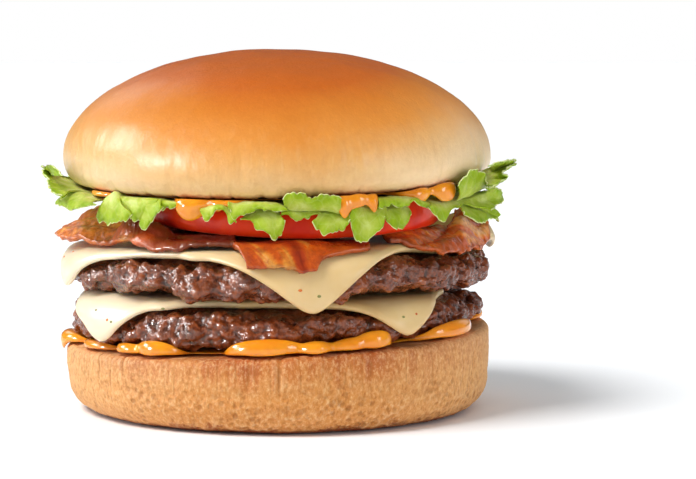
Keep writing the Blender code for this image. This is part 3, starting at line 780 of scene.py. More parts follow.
def heel_finish(settings):
    """The heel's toasted side: red-brown under the rim, dusty and open below, dark at the base, with painted
    shade in its pits, creases and hollows and painted light on its proud bumps.
    """
    f = Finish(
        "heel_crust", roughness=0.62, specular_ior_level=0.2,
        subsurface_weight=0.08, subsurface_radius=(0.003, 0.0015, 0.0008),
    )
    height = f.axes()["Z"]
    upright = f.noise(2.4, 3.0, 0.6, f.millimetres(0.18))
    uneven = f.times(f.minus(f.noise(12.0, 4.0), 0.5), 0.010)
    uneven = f.plus(uneven, f.times(f.minus(upright, 0.5), 0.012))
    side = f.ramp(
        f.spread(f.plus(height, uneven), 0.0, 0.019),
        (
            (0.0, (0.36, 0.10, 0.022)),
            (0.07, (0.62, 0.26, 0.070)),
            (0.45, (0.62, 0.25, 0.058)),
            (0.60, settings.heel_colour),
            (0.78, (0.53, 0.170, 0.036)),
            (1.0, (0.42, 0.100, 0.020)),
        ),
    )
    sideways = f.spread(f.unsigned(f.axes()["X"]), 0.020, 0.052, 0.0, 0.65)
    side = f.mix(sideways, side, (0.76, 0.42, 0.17))
    grains = f.noise(0.7, 3.0, 0.7, f.millimetres(0.6))
    side = f.mix(f.spread(grains, 0.48, 0.70, 0.0, 0.55), side, (0.86, 0.55, 0.25))
    side = f.mix(f.spread(grains, 0.44, 0.30, 0.0, 0.6), side, (0.34, 0.10, 0.025))
    open_crumb = f.times(f.spread(height, 0.017, 0.006), f.spread(f.noise(9.0), 0.38, 0.60))
    # Painted shade: the pits of the open crumb low on the side are darkened.
    pores = f.times(f.spread(f.cells(520.0), 0.20, 0.42, 1.0, 0.0), open_crumb)
    side = f.mix(f.times(pores, 0.75), side, (0.40, 0.15, 0.035))
    hollow = f.stored("hollow")
    # Painted shade: the deep points of the creases and crumb are darkened.
    side = f.mix(f.spread(hollow, 0.52, 0.85, 0.0, 0.85), side, (0.38, 0.14, 0.030))
    # Painted light: the proud bumps are paled.
    side = f.mix(f.spread(hollow, 0.45, 0.15, 0.0, 0.35), side, (0.90, 0.66, 0.38))
    ragged = f.plus(height, f.spread(f.noise(3.0), 0.3, 0.7, -0.0004, 0.0004))
    side = f.mix(f.spread(ragged, 0.0004, 0.0013, 0.8, 0.0), side, (0.26, 0.045, 0.010))
    skin = f.bump(grains, 0.20, 0.8)
    skin = f.bump(f.minus(1.0, pores), 0.6, 0.6, skin)
    return f.connect(base_color=side, normal=skin)


def beef_finish(settings):
    """Browned minced beef, wet with fat on its lumps, with painted shade making its gaps near black and
    painted light on its proud lumps.
    """
    f = Finish(
        "browned_beef", roughness=0.5, coat_weight=1.0, coat_roughness=0.16,
        specular_ior_level=0.3, specular_tint=(1.0, 0.72, 0.52, 1.0),
    )
    strands = f.noise(1.5, 5.0, 0.65, distortion=0.6)
    beef = f.ramp(
        f.plus(f.times(strands, 0.7), f.times(f.noise(7.0), 0.45)),
        (
            (0.40, (0.040, 0.005, 0.002)),
            (0.54, settings.beef_colour),
            (0.68, (0.29, 0.058, 0.010)),
            (0.80, (0.50, 0.15, 0.035)),
        ),
    )
    hollow = f.stored("hollow")
    # Painted shade: the gaps between the lumps are darkened to near black.
    beef = f.mix(f.spread(hollow, 0.50, 0.82, 0.0, 0.95), beef, (0.014, 0.003, 0.002))
    # Painted light: the proud lumps are lightened.
    beef = f.mix(f.spread(hollow, 0.42, 0.10, 0.0, 0.35), beef, (0.38, 0.095, 0.020))
    wet = f.spread(f.noise(3.0), 0.40, 0.60, 0.22, 0.50)
    skin = f.bump(strands, 0.45, 0.8)
    skin = f.bump(f.noise(0.8, 3.0, 0.7), 0.5, 1.0, skin)
    film = f.bump(f.noise(1.3, 2.0, 0.6), 0.5, 0.8)
    return f.connect(base_color=beef, normal=skin, roughness=wet, coat_normal=film)


def cheese_finish(settings):
    """Soft creamy cheese, a little glossy, with painted light whitening its left side, where the window
    lights it.
    """
    f = Finish(
        "melted_cheese", roughness=0.34, coat_weight=0.12, coat_roughness=0.3,
        subsurface_weight=0.35, subsurface_radius=(0.0040, 0.0026, 0.0012),
    )
    cheese = f.mix(f.spread(f.noise(11.0), 0.35, 0.65), settings.cheese_colour, (0.75, 0.54, 0.26))
    # Painted light: the cheese is whitened left of the axis, where the window lights it.
    cheese = f.mix(f.spread(f.axes()["X"], -0.008, -0.040), cheese, (0.86, 0.73, 0.51))
    return f.connect(base_color=cheese, normal=f.bump(f.noise(3.0), 0.10, 0.5))


def bacon_finish(settings, name, turn, start, dark):
    """Crisp bacon in streaks that run along the rasher, turned by some degrees, with painted shade near its
    start, under the tomato, in its hollows and, by dark, all over, and painted light on its left end.
    """
    f = Finish(
        name, roughness=0.38, coat_weight=0.5, coat_roughness=0.14,
        specular_ior_level=0.3, specular_tint=(1.0, 0.72, 0.5, 1.0),
        subsurface_weight=0.10, subsurface_radius=(0.002, 0.0008, 0.0003),
    )
    flat = f.add("TexCoord").outputs["UV"]
    strip = f.stretched((8.0, 2.4, 1.0), flat)
    along = f.add("Mapping", {"Vector": strip, "Rotation": (0.0, 0.0, math.radians(turn))}).outputs["Vector"]
    streaks = f.noise(1.0, 3.0, 0.55, f.stretched((0.28, 1.7, 1.0), along), 0.7)
    meat = f.ramp(
        streaks,
        (
            (0.33, (0.16, 0.008, 0.002)),
            (0.44, settings.bacon_colour),
            (0.54, (0.80, 0.150, 0.012)),
            (0.60, (0.90, 0.38, 0.050)),
            (0.69, (0.92, 0.60, 0.20)),
        ),
    )
    across = f.axes()["X"]
    # Painted shade: a band from 38 to 6 mm left of the axis, under the tomato, and by dark the whole rasher,
    # are darkened.
    painted_shade_band = f.times(f.spread(across, -0.038, -0.026), f.spread(across, -0.006, -0.012, 0.0, 0.8))
    meat = f.mix(f.maths("MAXIMUM", painted_shade_band, dark), meat, (0.26, 0.07, 0.06), "MULTIPLY")
    # Painted light: the bacon is brightened past the stack's left side, where the window lights it.
    meat = f.mix(f.spread(across, -0.034, -0.044, 0.0, 0.55), meat, (0.95, 0.30, 0.035))
    meat = f.mix(f.spread(across, 0.028, 0.036, 0.0, 0.30), meat, (0.90, 0.20, 0.02))
    edge = f.unsigned(f.minus(f.axes(flat)["Y"], 0.5))
    ragged = f.plus(edge, f.spread(f.noise(2.0), 0.3, 0.7, -0.04, 0.04))
    meat = f.mix(f.spread(ragged, 0.42, 0.5, 0.0, 0.6), meat, (0.52, 0.11, 0.016))
    mottle = f.spread(f.noise(2.0, 4.0, 0.6), 0.42, 0.70, 0.0, 0.7)
    meat = f.mix(mottle, meat, (0.22, 0.018, 0.005))
    # Painted shade: the rasher is darkened near its start, which lies under the tomato's edge.
    painted_shade_at_start = f.spread(f.axes(flat)["X"], start, start - 0.25, 0.0, 0.8)
    meat = f.mix(painted_shade_at_start, meat, (0.09, 0.008, 0.003))
    # Painted shade: the deep points of the folds are darkened.
    meat = f.mix(f.spread(f.stored("hollow"), 0.55, 0.95, 0.0, 0.75), meat, (0.12, 0.008, 0.002))
    skin = f.bump(streaks, 0.7)
    skin = f.bump(f.noise(1.0, 4.0, 0.6), 0.26, 0.8, skin)
    rough = f.spread(f.noise(3.5), 0.35, 0.65, 0.24, 0.55)
    return f.connect(base_color=meat, normal=skin, roughness=rough)


def tomato_finish(settings):
    """Wet red tomato: deep red skin and paler flesh on the cut faces."""
    f = Finish(
        "tomato_flesh", roughness=0.30, coat_weight=0.14, coat_roughness=0.06,
        specular_ior_level=0.15, specular_tint=(1.0, 0.4, 0.3, 1.0),
        subsurface_weight=0.15, subsurface_radius=(0.004, 0.0008, 0.0005),
    )
    up = f.axes(f.add("NewGeometry").outputs["Normal"])["Z"]
    face = f.spread(f.unsigned(up), 0.75, 0.95)
    flesh = f.mix(f.spread(f.noise(4.0, 4.0), 0.35, 0.65), (0.62, 0.07, 0.03), (0.72, 0.14, 0.06))
    peel = f.mix(f.spread(f.noise(7.0), 0.35, 0.65), settings.tomato_colour, (0.86, 0.050, 0.007))
    return f.connect(base_color=f.mix(face, peel, flesh), normal=f.bump(f.noise(1.4), 0.12, 0.5))


def lettuce_finish(settings):
    """Fresh lettuce, pale at the heart and along its veins, bright green towards the frilled edge, with a
    painted highlight along the very edge.
    """
    f = Finish(
        "lettuce_leaf", roughness=0.45, specular_ior_level=0.2, specular_tint=(0.8, 1.0, 0.4, 1.0),
        subsurface_weight=0.35, subsurface_radius=(0.0012, 0.0020, 0.0004),
    )
    out = f.stored("leaf_share")
    patches = f.noise(5.0, 4.0, 0.6, distortion=0.5)
    leaf = f.ramp(
        f.plus(out, f.spread(patches, 0.3, 0.7, -0.22, 0.22)),
        (
            (0.42, (0.62, 0.68, 0.24)),
            (0.64, (0.44, 0.52, 0.07)),
            (0.84, settings.lettuce_colour),
            (1.0, (0.24, 0.36, 0.010)),
        ),
    )
    veins = f.cells(1.0 / (2.8 * MM), "DISTANCE_TO_EDGE")
    leaf = f.mix(f.spread(veins, 0.0, 0.07, 0.16, 0.0), leaf, (0.60, 0.70, 0.25))
    # Painted highlight: a thin pale line along the very edge of each leaf and frill.
    leaf = f.mix(f.spread(out, 0.955, 0.978, 0.0, 0.85), leaf, (0.80, 0.82, 0.42))
    return f.connect(base_color=leaf, normal=f.bump(f.noise(1.8, 4.0, 0.6), 0.40, 0.6))


def sauce_finish(settings):
    """Glossy orange sauce."""
    f = Finish(
        "glossy_sauce", roughness=0.18, coat_weight=0.7, coat_roughness=0.10, specular_ior_level=0.3,
        subsurface_weight=0.2, subsurface_radius=(0.004, 0.002, 0.0005),
    )
    sauce = f.mix(f.spread(f.noise(6.0), 0.35, 0.65), settings.sauce_colour, (0.80, 0.24, 0.008))
    return f.connect(base_color=sauce, normal=f.bump(f.noise(2.4, 2.0), 0.12, 0.4))


def ring_azimuths(segments):
    """The azimuths of a ring's points."""
    return np.arange(segments) * 360.0 / segments


def build_heel():
    """Turns the heel's outline, then creases its side and opens its crumb."""
    settings = bpy.context.scene.burger_bun
    azimuth = ring_azimuths(HEEL_POINTS)
    wobble = 0.5 * sin_deg(3 * azimuth + 20) + 0.3 * sin_deg(7 * azimuth)
    radius = settings.radius / MM + 0.35 * wobble
    foot, side, rim = HEEL_FOOT + wobble, radius - 0.4, radius - HEEL_RIM_ROUND
    top = heel_top(*at(azimuth, radius))
    rows = [(share * foot, 0.0 * foot) for share in (0.0, 0.3, 0.6, 0.85)]
    for turn in np.linspace(0, 88, 34):
        rows.append((foot + (side - foot) * sin_deg(turn), HEEL_BASE_ROUND * (1 - cos_deg(turn)) + 0 * foot))
    for share in np.linspace(0.0, 1.0, 32):
        rows.append((side + 0.4 * ease(share * 2), HEEL_BASE_ROUND + (top - 2.0 - HEEL_BASE_ROUND) * share))
    for turn in np.linspace(8, 90, 12):
        up = HEEL_RIM_ROUND * sin_deg(turn)
        rows.append((rim + HEEL_RIM_ROUND * cos_deg(turn), top - HEEL_RIM_ROUND + up))
    for share in (0.97, 0.9, 0.8, 0.6, 0.3, 0.0):
        rows.append((share * rim, heel_top(*at(azimuth, share * rim))))
    piece = round_piece("toasted_heel", "bun_heel", rows)
    points = read_points(piece) / MM
    out = ease((away_from_axis(points) - 43.0) / 4.0)
    low = ease((13.0 - points[:, 2]) / 8.0)
    crumb = np.clip(0.45 + 1.2 * grain(points, 9.0, 2), 0.15, 1.0)
    front = ease(1.3 - np.abs(turn_between(turn_of(points), 10.0)) / 75.0)
    weigh(piece, "side", out)
    weigh(piece, "low_side", out * low * ease(points[:, 2] / 1.5) * crumb * (0.3 + 0.7 * front))
    roughen(piece, "CLOUDS", 14.0, 0.8, "side")
    crease_heel(piece)
    roughen(piece, "CLOUDS", 1.0, 0.30, "side", noise_depth=2)
    roughen(piece, "VORONOI", 1.9, 1.05, "low_side", level=0.45)
    points = read_points(piece)
    points[:, 2] = np.maximum(points[:, 2], 0.0)
    write_points(piece, points)
    mark_hollows(piece, 6, 0.22)
    finish_piece(piece, heel_finish(settings), "bun_heel")


def crease_heel(piece):
    """Presses short upright creases into the heel's side, below its top rim."""
    points = read_points(piece) / MM
    azimuth, height = turn_of(points) * 0.9, points[:, 2]
    lines = side_grain(azimuth, height * 0.12, 2.6, 4)
    folds = side_grain(azimuth, height * 0.25, 7.0, 5)
    where = ease((height - 6.0) / 7.0) * ease((away_from_axis(points) - 49.0) / 2.0)
    some = np.clip(0.5 + 2.2 * grain(points, 16.0, 7), 0.0, 1.0)
    press(piece, (0.16 * furrow(lines, 0.14) + 0.34 * some * furrow(folds, 0.17)) * where)


def build_crown():
    """Turns the crown's outline, then waves and wrinkles its skin."""
    settings = bpy.context.scene.burger_bun
    azimuth = ring_azimuths(CROWN_POINTS)
    radius = settings.crown_radius / MM + 0.3 * sin_deg(2 * azimuth + 70) + 0.2 * sin_deg(3 * azimuth)
    cut = crown_bottom(*at(azimuth, CROWN_CUT_RADIUS))
    rows = []
    for share in (0.0, 0.2, 0.4, 0.6, 0.8, 0.92, 0.98):
        r = share * CROWN_CUT_RADIUS + 0 * azimuth
        rows.append((r, crown_bottom(*at(azimuth, r))))
    for turn in np.linspace(4, 86, 26):
        out = CROWN_CUT_RADIUS + (radius - CROWN_CUT_RADIUS) * sin_deg(turn)
        rows.append((out, CROWN_WIDEST - (CROWN_WIDEST - cut) * cos_deg(turn)))
    for turn in np.linspace(0, 90, 86):
        rise = max(0.0, sin_deg(turn)) ** 0.97
        rows.append((radius * cos_deg(turn), CROWN_WIDEST + (CROWN_TOP - CROWN_WIDEST) * rise + 0 * azimuth))
    piece = round_piece("glazed_crown", "bun_crown", rows, (CROWN_X, 0.0))
    points = read_points(piece) / MM
    weigh(piece, "dome", ease((points[:, 2] - 57.0) / 4.0))
    roughen(piece, "CLOUDS", 24.0, 1.0, "dome")
    roughen(piece, "CLOUDS", 6.0, 0.14, "dome")
    wrinkle_crown(piece)
    finish_piece(piece, crust_finish(settings), "bun_crown")


def wrinkle_crown(piece):
    """Draws faint upright wrinkles up the crown's lower third and tiny notches along its cut."""
    points = read_points(piece) / MM
    azimuth, height = turn_of(points), points[:, 2]
    lines = side_grain(azimuth, height * 0.10, 3.4, 2)
    depth = 0.22 * furrow(lines, 0.14) * (ease((73.0 - height) / 10.0) * ease((height - 56.5) / 2.0))
    notch = side_grain(azimuth * 0.9, 0 * azimuth, 1.1, 6)
    at_cut = ease((58.4 - height) / 1.6) * ease((away_from_axis(points) - 46.0) / 2.0)
    press(piece, depth + 0.35 * ease(notch / 0.4) * at_cut)


def patty_rows(outline, floor):
    """Rows of a patty's full outline, close together along its rounded edge."""
    radius, _, _, top, high = outline
    rim = radius - PATTY_BULGE
    rows = [(share * rim, floor(share * rim)) for share in (0.0, 0.3, 0.55, 0.7, 0.8, 0.88, 0.95)]
    rows += [bulge(outline, turn) for turn in np.linspace(-88, 88, 58)]
    rows += [
        (share * rim, face_height(share * rim, rim, top, high))
        for share in (0.97, 0.93, 0.88, 0.8, 0.7, 0.55, 0.3, 0.0)
    ]
    return rows


def build_patties():
    """Builds both patties and crumbles their edges."""
    settings = bpy.context.scene.burger_filling
    azimuth = ring_azimuths(PATTY_POINTS)
    lower, upper = lower_patty(azimuth), upper_patty(azimuth)
    lower = (*lower[:2], lower[2] - 0.9, *lower[3:])
    finish = beef_finish(settings)
    for name, node, outline, floor, seed in (
        ("browned_patty_lower", "patty_lower", lower, lambda r: heel_top(*at(azimuth, r)) + 1.5, 3),
        ("browned_patty_upper", "patty_upper", upper, lambda r: UPPER_PATTY_BOTTOM + 0.0 * r, 9),
    ):
        piece = round_piece(name, node, patty_rows(outline, floor))
        crumble(piece, seed, settings.crag_depth / MM)
        finish_piece(piece, finish, node)


def crumble(piece, seed, depth):
    """Breaks a patty's edge into coarse crags, with minced lumps and strands on them."""
    points = read_points(piece) / MM
    away = away_from_axis(points)
    crag = 0.42 - 0.95 * grain(points, 9.0, seed) - 0.45 * grain(points, 3.8, seed + 1)
    press(piece, depth * np.clip(crag, -0.15, 1.1) * ease((away - 41.0) / 5.0))
    weigh(piece, "edge", ease((away - 38.0) / 7.0))
    roughen(piece, "VORONOI", 5.2, -1.9, "edge", level=0.45)
    roughen(piece, "VORONOI", 2.4, -1.1, "edge", level=0.42)
    roughen(piece, "CLOUDS", 1.1, 0.8, "edge", noise_depth=2)
    mark_hollows(piece, 14, 0.55)


def build_cheese():
    """Drapes both slices over the beef that they lie on."""
    settings = bpy.context.scene.burger_filling
    finish = cheese_finish(settings)
    thick = settings.cheese_thickness / MM
    share = np.concatenate([np.linspace(0, 0.45, 6)[:-1], np.linspace(0.45, 1.0, 44), (1.004, 1.007, 1.009)])
    for name, node, cheese, patty, seed in (
        ("melted_slice_lower", "cheese_lower", LOWER_CHEESE, lower_patty, 5),
        ("melted_slice_upper", "cheese_upper", UPPER_CHEESE, upper_patty, 11),
    ):
        middle, walls = [], []
        for turn in ring_azimuths(SLICE_POINTS):
            reach = float(slice_reach(cheese, turn))
            for run_at, half, more in cheese["runs"]:
                reach += more * float(ease(1.0 - abs(turn_between(turn, run_at)) / half))
            along = share * (reach - 0.5)
            r, z = drape(outline_at(patty, turn), along, CHEESE_GAP + CHEESE_THICKNESS / 2)
            if node == "cheese_upper":
                z = z + np.array([raised_corner(turn, place) for place in along])
            middle.append(np.stack([*at(turn, r), z], axis=1))
            walls.append(thick * np.sqrt(np.clip((reach - along) / 1.1, 0.0, 1.0)))
        middle = np.array(middle).transpose(1, 0, 2)
        walls = np.array(walls).T
        walls[-1] = 0.05
        away = np.hypot(middle[:, :, 0], middle[:, :, 1])
        lift = grain(middle.reshape(-1, 3), 9.0, seed).reshape(away.shape)
        hang = ease((share[:, None] - 0.8) / 0.2)
        outwards = middle[:, :, :2] / (away[:, :, None] + 1e-6)
        middle[:, :, :2] += outwards * (0.9 * np.maximum(lift, -0.1) * hang)[:, :, None]
        piece = sheet_piece(name, node, middle, walls)
        finish_piece(piece, finish, node)
        scatter_flecks(piece, seed)


def scatter_flecks(slice_piece, seed):
    """Sets tiny flecks in a slice's skin, some where they are seen and some by a seeded draw."""
    draw = np.random.default_rng(seed)
    eye = Vector((0.0, -VIEW_AWAY, VIEW_HEIGHT)) * MM
    rays = []
    for across, down, orange in SEEN_FLECKS:
        look = Vector(((across - VIEW_AXIS) / VIEW_LENS, 1.0, -(down - VIEW_HORIZON) / VIEW_LENS))
        rays.append((eye, look, orange))
    for azimuth in draw.uniform(60.0, 300.0, 9):
        x, y = at(azimuth, 200.0)
        look = Vector((-x, -y, draw.uniform(-6.0, 0.0)))
        rays.append((Vector((x, y, 42.0)) * MM, look, azimuth > 170.0))
    parts = {False: [], True: []}
    for origin, look, orange in rays:
        hit, place, normal, _ = slice_piece.ray_cast(origin, look.normalized())
        if not hit:
            continue
        start_object()
        size = draw.uniform(0.32, 0.5) * MM
        bpy.ops.mesh.primitive_ico_sphere_add(subdivisions=2, radius=size, location=place)
        fleck = bpy.context.object
        fleck.scale = (1.0, draw.uniform(0.6, 0.9), 0.35)
        fleck.rotation_euler = normal.to_track_quat("Z", "Y").to_euler()
        parts[bool(orange)].append(place_primitive(fleck, "fleck"))
    for orange, pieces in parts.items():
        if not pieces:
            continue
        hold(pieces[0])
        for fleck in pieces:
            fleck.select_set(True)
        bpy.ops.object.join()
        kind = "pepper" if orange else "herb"
        pieces[0].name = kind + "_flecks_" + slice_piece.name.split("_")[-1]
        pieces[0].data.name = pieces[0].name
        finish_piece(pieces[0], fleck_finish(kind), None)


def fleck_finish(kind):
    """Dried herb or pepper, mottled."""
    colours = {
        "herb": ((0.16, 0.17, 0.03), (0.30, 0.27, 0.07)),
        "pepper": ((0.72, 0.19, 0.02), (0.50, 0.08, 0.01)),
    }
    f = Finish(kind + "_fleck", roughness=0.5)
    return f.connect(base_color=f.mix(f.spread(f.noise(0.4), 0.4, 0.6), *colours[kind]))


def beside_tomato(x, y):
    """How far a plan point lies outside the tomato's edge."""
    return math.hypot(x - TOMATO_X, y - TOMATO_Y) - TOMATO_RADIUS


def edge_crinkle(u, v, seed):
    """Small waves that grow towards a rasher's two long edges."""
    side = ease((abs(v - 0.5) - 0.25) / 0.25)
    wave = wander(u * 11.0, v * 1.6, seed) * 1.1 + wander(u * 30.0, v * 4.0, seed) * 0.5
    return float(wave * (0.25 + 0.75 * side))


def folds_along(u, v, depth):
    """Narrow folds that run along a rasher."""
    return depth * math.sin(24.0 * v + 2.4 * math.sin(7.0 * u)) * ease((u - 0.08) / 0.2)


def raised_corner(azimuth, away):
    """How far the upper slice's right corner stands up off the beef."""
    return 5.0 * float(ease(1.0 - abs(turn_between(azimuth, 100.0)) / 28.0) * ease((away - 40.0) / 9.0))


def swell(share):
    """A rounded rise from 0 to 1, steep at first."""
    return math.sin(math.pi / 2.0 * min(1.0, max(0.0, share)))


def over_rim(azimuth, along, raised, stiff):
    """Where a rasher lies that has run some length over the upper slice: limp over its edge, or stiff."""
    outline = outline_at(upper_patty, azimuth)
    reach = float(slice_reach(UPPER_CHEESE, azimuth))
    over_slice = CHEESE_THICKNESS * float(ease((reach + 1.6 - along) / 2.4))
    offset = CHEESE_GAP + GAP + BACON_THICKNESS / 2 + over_slice
    r, z = drape(outline, along, offset)
    flat_z = drape(outline, min(along, 48.0), offset)[1]
    x, y = at(azimuth, float(r) + (along - float(r)) * stiff)
    return x, y, float(z) + (float(flat_z) - float(z)) * stiff + raised


def left_rasher(u, v):
    """A point of the rasher along the front left rim."""
    v = v + (0.02 + 0.03 * ease((u - 0.5) / 0.2)) * wander(u * 16.0, 3.0, 1.0) * (2 * v - 1)
    hang = 0.8 * math.exp(-(((u - 0.34) / 0.16) ** 2))
    reach = 49.4 + hang - 0.6 * ease((u - 0.42) / 0.1) + 6.9 * ease((u - 0.55) / 0.45)
    outer = np.array(at(-12.0 - 69.5 * u, reach))
    inner = np.array((-10.4, -25.0)) * (1 - u) + np.array((-46.5, 6.0)) * u
    x, y = outer * (1 - v) + inner * v
    away, azimuth = math.hypot(x, y), math.degrees(math.atan2(x, -y))
    lift = 5.8 * ease((beside_tomato(x, y) - 0.6) / 5.0) * swell(1.15 * v)
    lift *= 1.0 - 0.5 * ease((u - 0.9) / 0.1)
    ridge = 4.6 * math.exp(-(((away - 46.0) / 2.2) ** 2))
    ridge *= math.exp(-((turn_between(azimuth, -45.0) / 11.0) ** 4))
    lift = max(lift, ridge)
    ripple = 0.3 * math.sin(15.0 * u + 1.2) * ease((0.45 - v) / 0.45)
    ripple += 0.4 * math.sin(11.0 * v) * ease((u - 0.6) / 0.3) + folds_along(u, v, 0.38)
    crisp = (0.25 + 0.55 * ease((u - 0.5) / 0.2)) * edge_crinkle(u, v, 2.0)
    under_slice = 1.0 * ease((47.5 - away) / 3.0) * ease((3.0 - beside_tomato(x, y)) / 2.0)
    raised = 0.6 + max(lift, under_slice) + (ripple + crisp) * ease((u - 0.05) / 0.2)
    return over_rim(azimuth, away, raised, float(ease((u - 0.45) / 0.25)))


def right_rasher(u, v):
    """A point of the rasher that comes out at the right."""
    v = v + 0.05 * wander(u * 14.0, 5.0, 2.0) * (2 * v - 1)
    outer = np.array(at(33.0 + 54.0 * u, 47.8 + 2.6 * ease(u / 0.35) + 1.6 * ease((u - 0.6) / 0.3)))
    inner = np.array((17.0, -24.0)) * (1 - u) + np.array((44.5, 7.0)) * u
    inner += 8.0 * np.array((0.74, -0.67)) * math.sin(math.pi * u)
    x, y = outer * (1 - v) + inner * v
    away, azimuth = math.hypot(x, y), math.degrees(math.atan2(x, -y))
    lift = 5.6 * ease((beside_tomato(x, y) - 0.8) / 5.0) * swell(2.2 * v)
    lift *= 1.0 - 0.8 * ease((u - 0.58) / 0.34)
    ripple = 0.3 * (1.0 + math.sin(13.0 * u)) * (1 - v) * ease(u / 0.3) + folds_along(u, v, 0.25)
    crisp = 0.45 * edge_crinkle(u, v, 4.0) * ease(u / 0.2)
    under_slice = 2.0 * ease((46.5 - away) / 4.0) * ease((3.0 - beside_tomato(x, y)) / 2.0)
    raised = max(lift, under_slice) + ripple + crisp + raised_corner(azimuth, away)
    return over_rim(azimuth, away, raised, float(ease((u - 0.5) / 0.3)))


def middle_rasher(u, v):
    """A point of the rasher that hangs over the front."""
    v = v + 0.04 * wander(u * 20.0, 7.0, 3.0) * (2 * v - 1)
    along = -50.0 + (106.6 + 1.2 * math.sin(math.pi * v)) * u
    along += 0.7 * wander(v * 7.0, 1.0, 5.0) * ease((u - 0.8) / 0.2)
    x = -11.6 + 24.8 * v - 8.0 * (v - 0.5) * ease((along - 45.0) / 12.0) + 0.8 * math.sin(along / 17.0)
    y = -along
    x += 7.5 * ease((v - 0.55) / 0.45) * ease((54.0 - along) / 8.0) * ease((along - 38.0) / 6.0)
    azimuth, flat = math.degrees(math.atan2(x, -y)), math.hypot(x, y)
    ripple = 0.25 + 0.25 * math.sin(8.0 * v + 0.06 * along)
    ripple += 0.3 * (1 + math.sin(6.0 * v - 0.2)) * ease((flat - 47.0) / 5.0)
    ripple += 0.3 * edge_crinkle(u, v, 6.0) * ease((flat - 40.0) / 8.0)
    offset = CHEESE_GAP + CHEESE_THICKNESS + GAP + BACON_THICKNESS / 2 + ripple * ease((flat - 15.0) / 10.0)
    r, z = drape(outline_at(upper_patty, azimuth), flat, offset)
    return (*at(azimuth, r), z)


def build_bacon():
    """Builds the three rashers and crimps them."""
    settings = bpy.context.scene.burger_filling
    thick = settings.bacon_thickness / MM
    # Each rasher: its name, node, shape, columns and rows, the turn of its streaks, how far along its
    # painted shade at the start reaches, and dark, how much painted shade darkens all of it
    for name, node, shape, columns, rows, turn, start, dark in (
        ("crisp_rasher_left", "bacon_left", left_rasher, 190, 60, 6.0, 0.40, 0.0),
        ("crisp_rasher_middle", "bacon_middle", middle_rasher, 170, 50, -48.0, -0.3, 0.38),
        ("crisp_rasher_right", "bacon_right", right_rasher, 150, 60, 12.0, 0.15, 0.1),
    ):
        piece = ribbon_piece(name, node, columns, rows, shape, thick * 0.8)
        roughen(piece, "CLOUDS", 3.5, 0.6, noise_depth=2)
        roughen(piece, "CLOUDS", 1.3, 0.45)
        mark_hollows(piece, 8, 0.35)
        finish_piece(piece, bacon_finish(settings, name + "_meat", turn, start, dark), node)


def build_tomato():
    """Builds the slice between the rashers and the lettuce."""
    settings = bpy.context.scene.burger_salad
    azimuth = ring_azimuths(TOMATO_POINTS)

    def under(r):
        x = TOMATO_X + at(azimuth, r)[0]
        return TOMATO_BOTTOM + 0.0014 * (x - 8.0) ** 2

    def over(r):
        x, y = at(azimuth, r)
        return crown_bottom(TOMATO_X + x, TOMATO_Y + y) - TOMATO_TOP

    radius = TOMATO_RADIUS + 0.4 * sin_deg(2 * azimuth + 40) + 0.2 * sin_deg(5 * azimuth)
    low, high = under(radius), over(radius)
    rows = [(share * radius, under(share * radius)) for share in (0.0, 0.3, 0.6, 0.8, 0.92)]
    for turn in np.linspace(-85, 85, 24):
        out = radius - 1.6 + 1.6 * max(0.0, cos_deg(turn)) ** 0.7
        rows.append((out, (low + high) / 2 + (high - low) / 2 * np.sign(turn) * abs(sin_deg(turn)) ** 0.85))
    rows += [(share * radius, over(share * radius)) for share in (0.92, 0.8, 0.6, 0.3, 0.0)]
    piece = round_piece("tomato_slice", "tomato", rows, (TOMATO_X, TOMATO_Y))
    roughen(piece, "CLOUDS", 9.0, 0.35)
    finish_piece(piece, tomato_finish(settings), "tomato")


def back_frills(front, seed, radius):
    """The edge of a leaf, with frills round the back that follow each other by a rule with a seeded draw."""
    draw = np.random.default_rng(seed)
    azimuth, end = front[-1][0], front[0][0] + 360.0
    knots = list(front)
    while azimuth < end - 12.0:
        step, past = draw.uniform((5.0, -1.0, 0.0), (8.0, 1.2, 1.0))[:2]
        azimuth += step
        knots.append((azimuth, radius + past))
    return knots


def leaf_edge(knots, azimuth):
    """Radius of a leaf's edge, eased from one knot to the next."""
    turns, radii = np.array([*knots, (knots[0][0] + 360.0, knots[0][1])], float).T
    turn = (azimuth - turns[0]) % 360.0 + turns[0]
    after = np.clip(np.searchsorted(turns, turn, side="right"), 1, len(turns) - 1)
    before = after - 1
    share = ease((turn - turns[before]) / (turns[after] - turns[before]))
    return radii[before] + (radii[after] - radii[before]) * share


def leaf_knots():
    """The edges of the lower and the upper leaf."""
    return back_frills(LOWER_LEAF_EDGE, 5, 54.0), back_frills(UPPER_LEAF_EDGE, 8, 56.0)


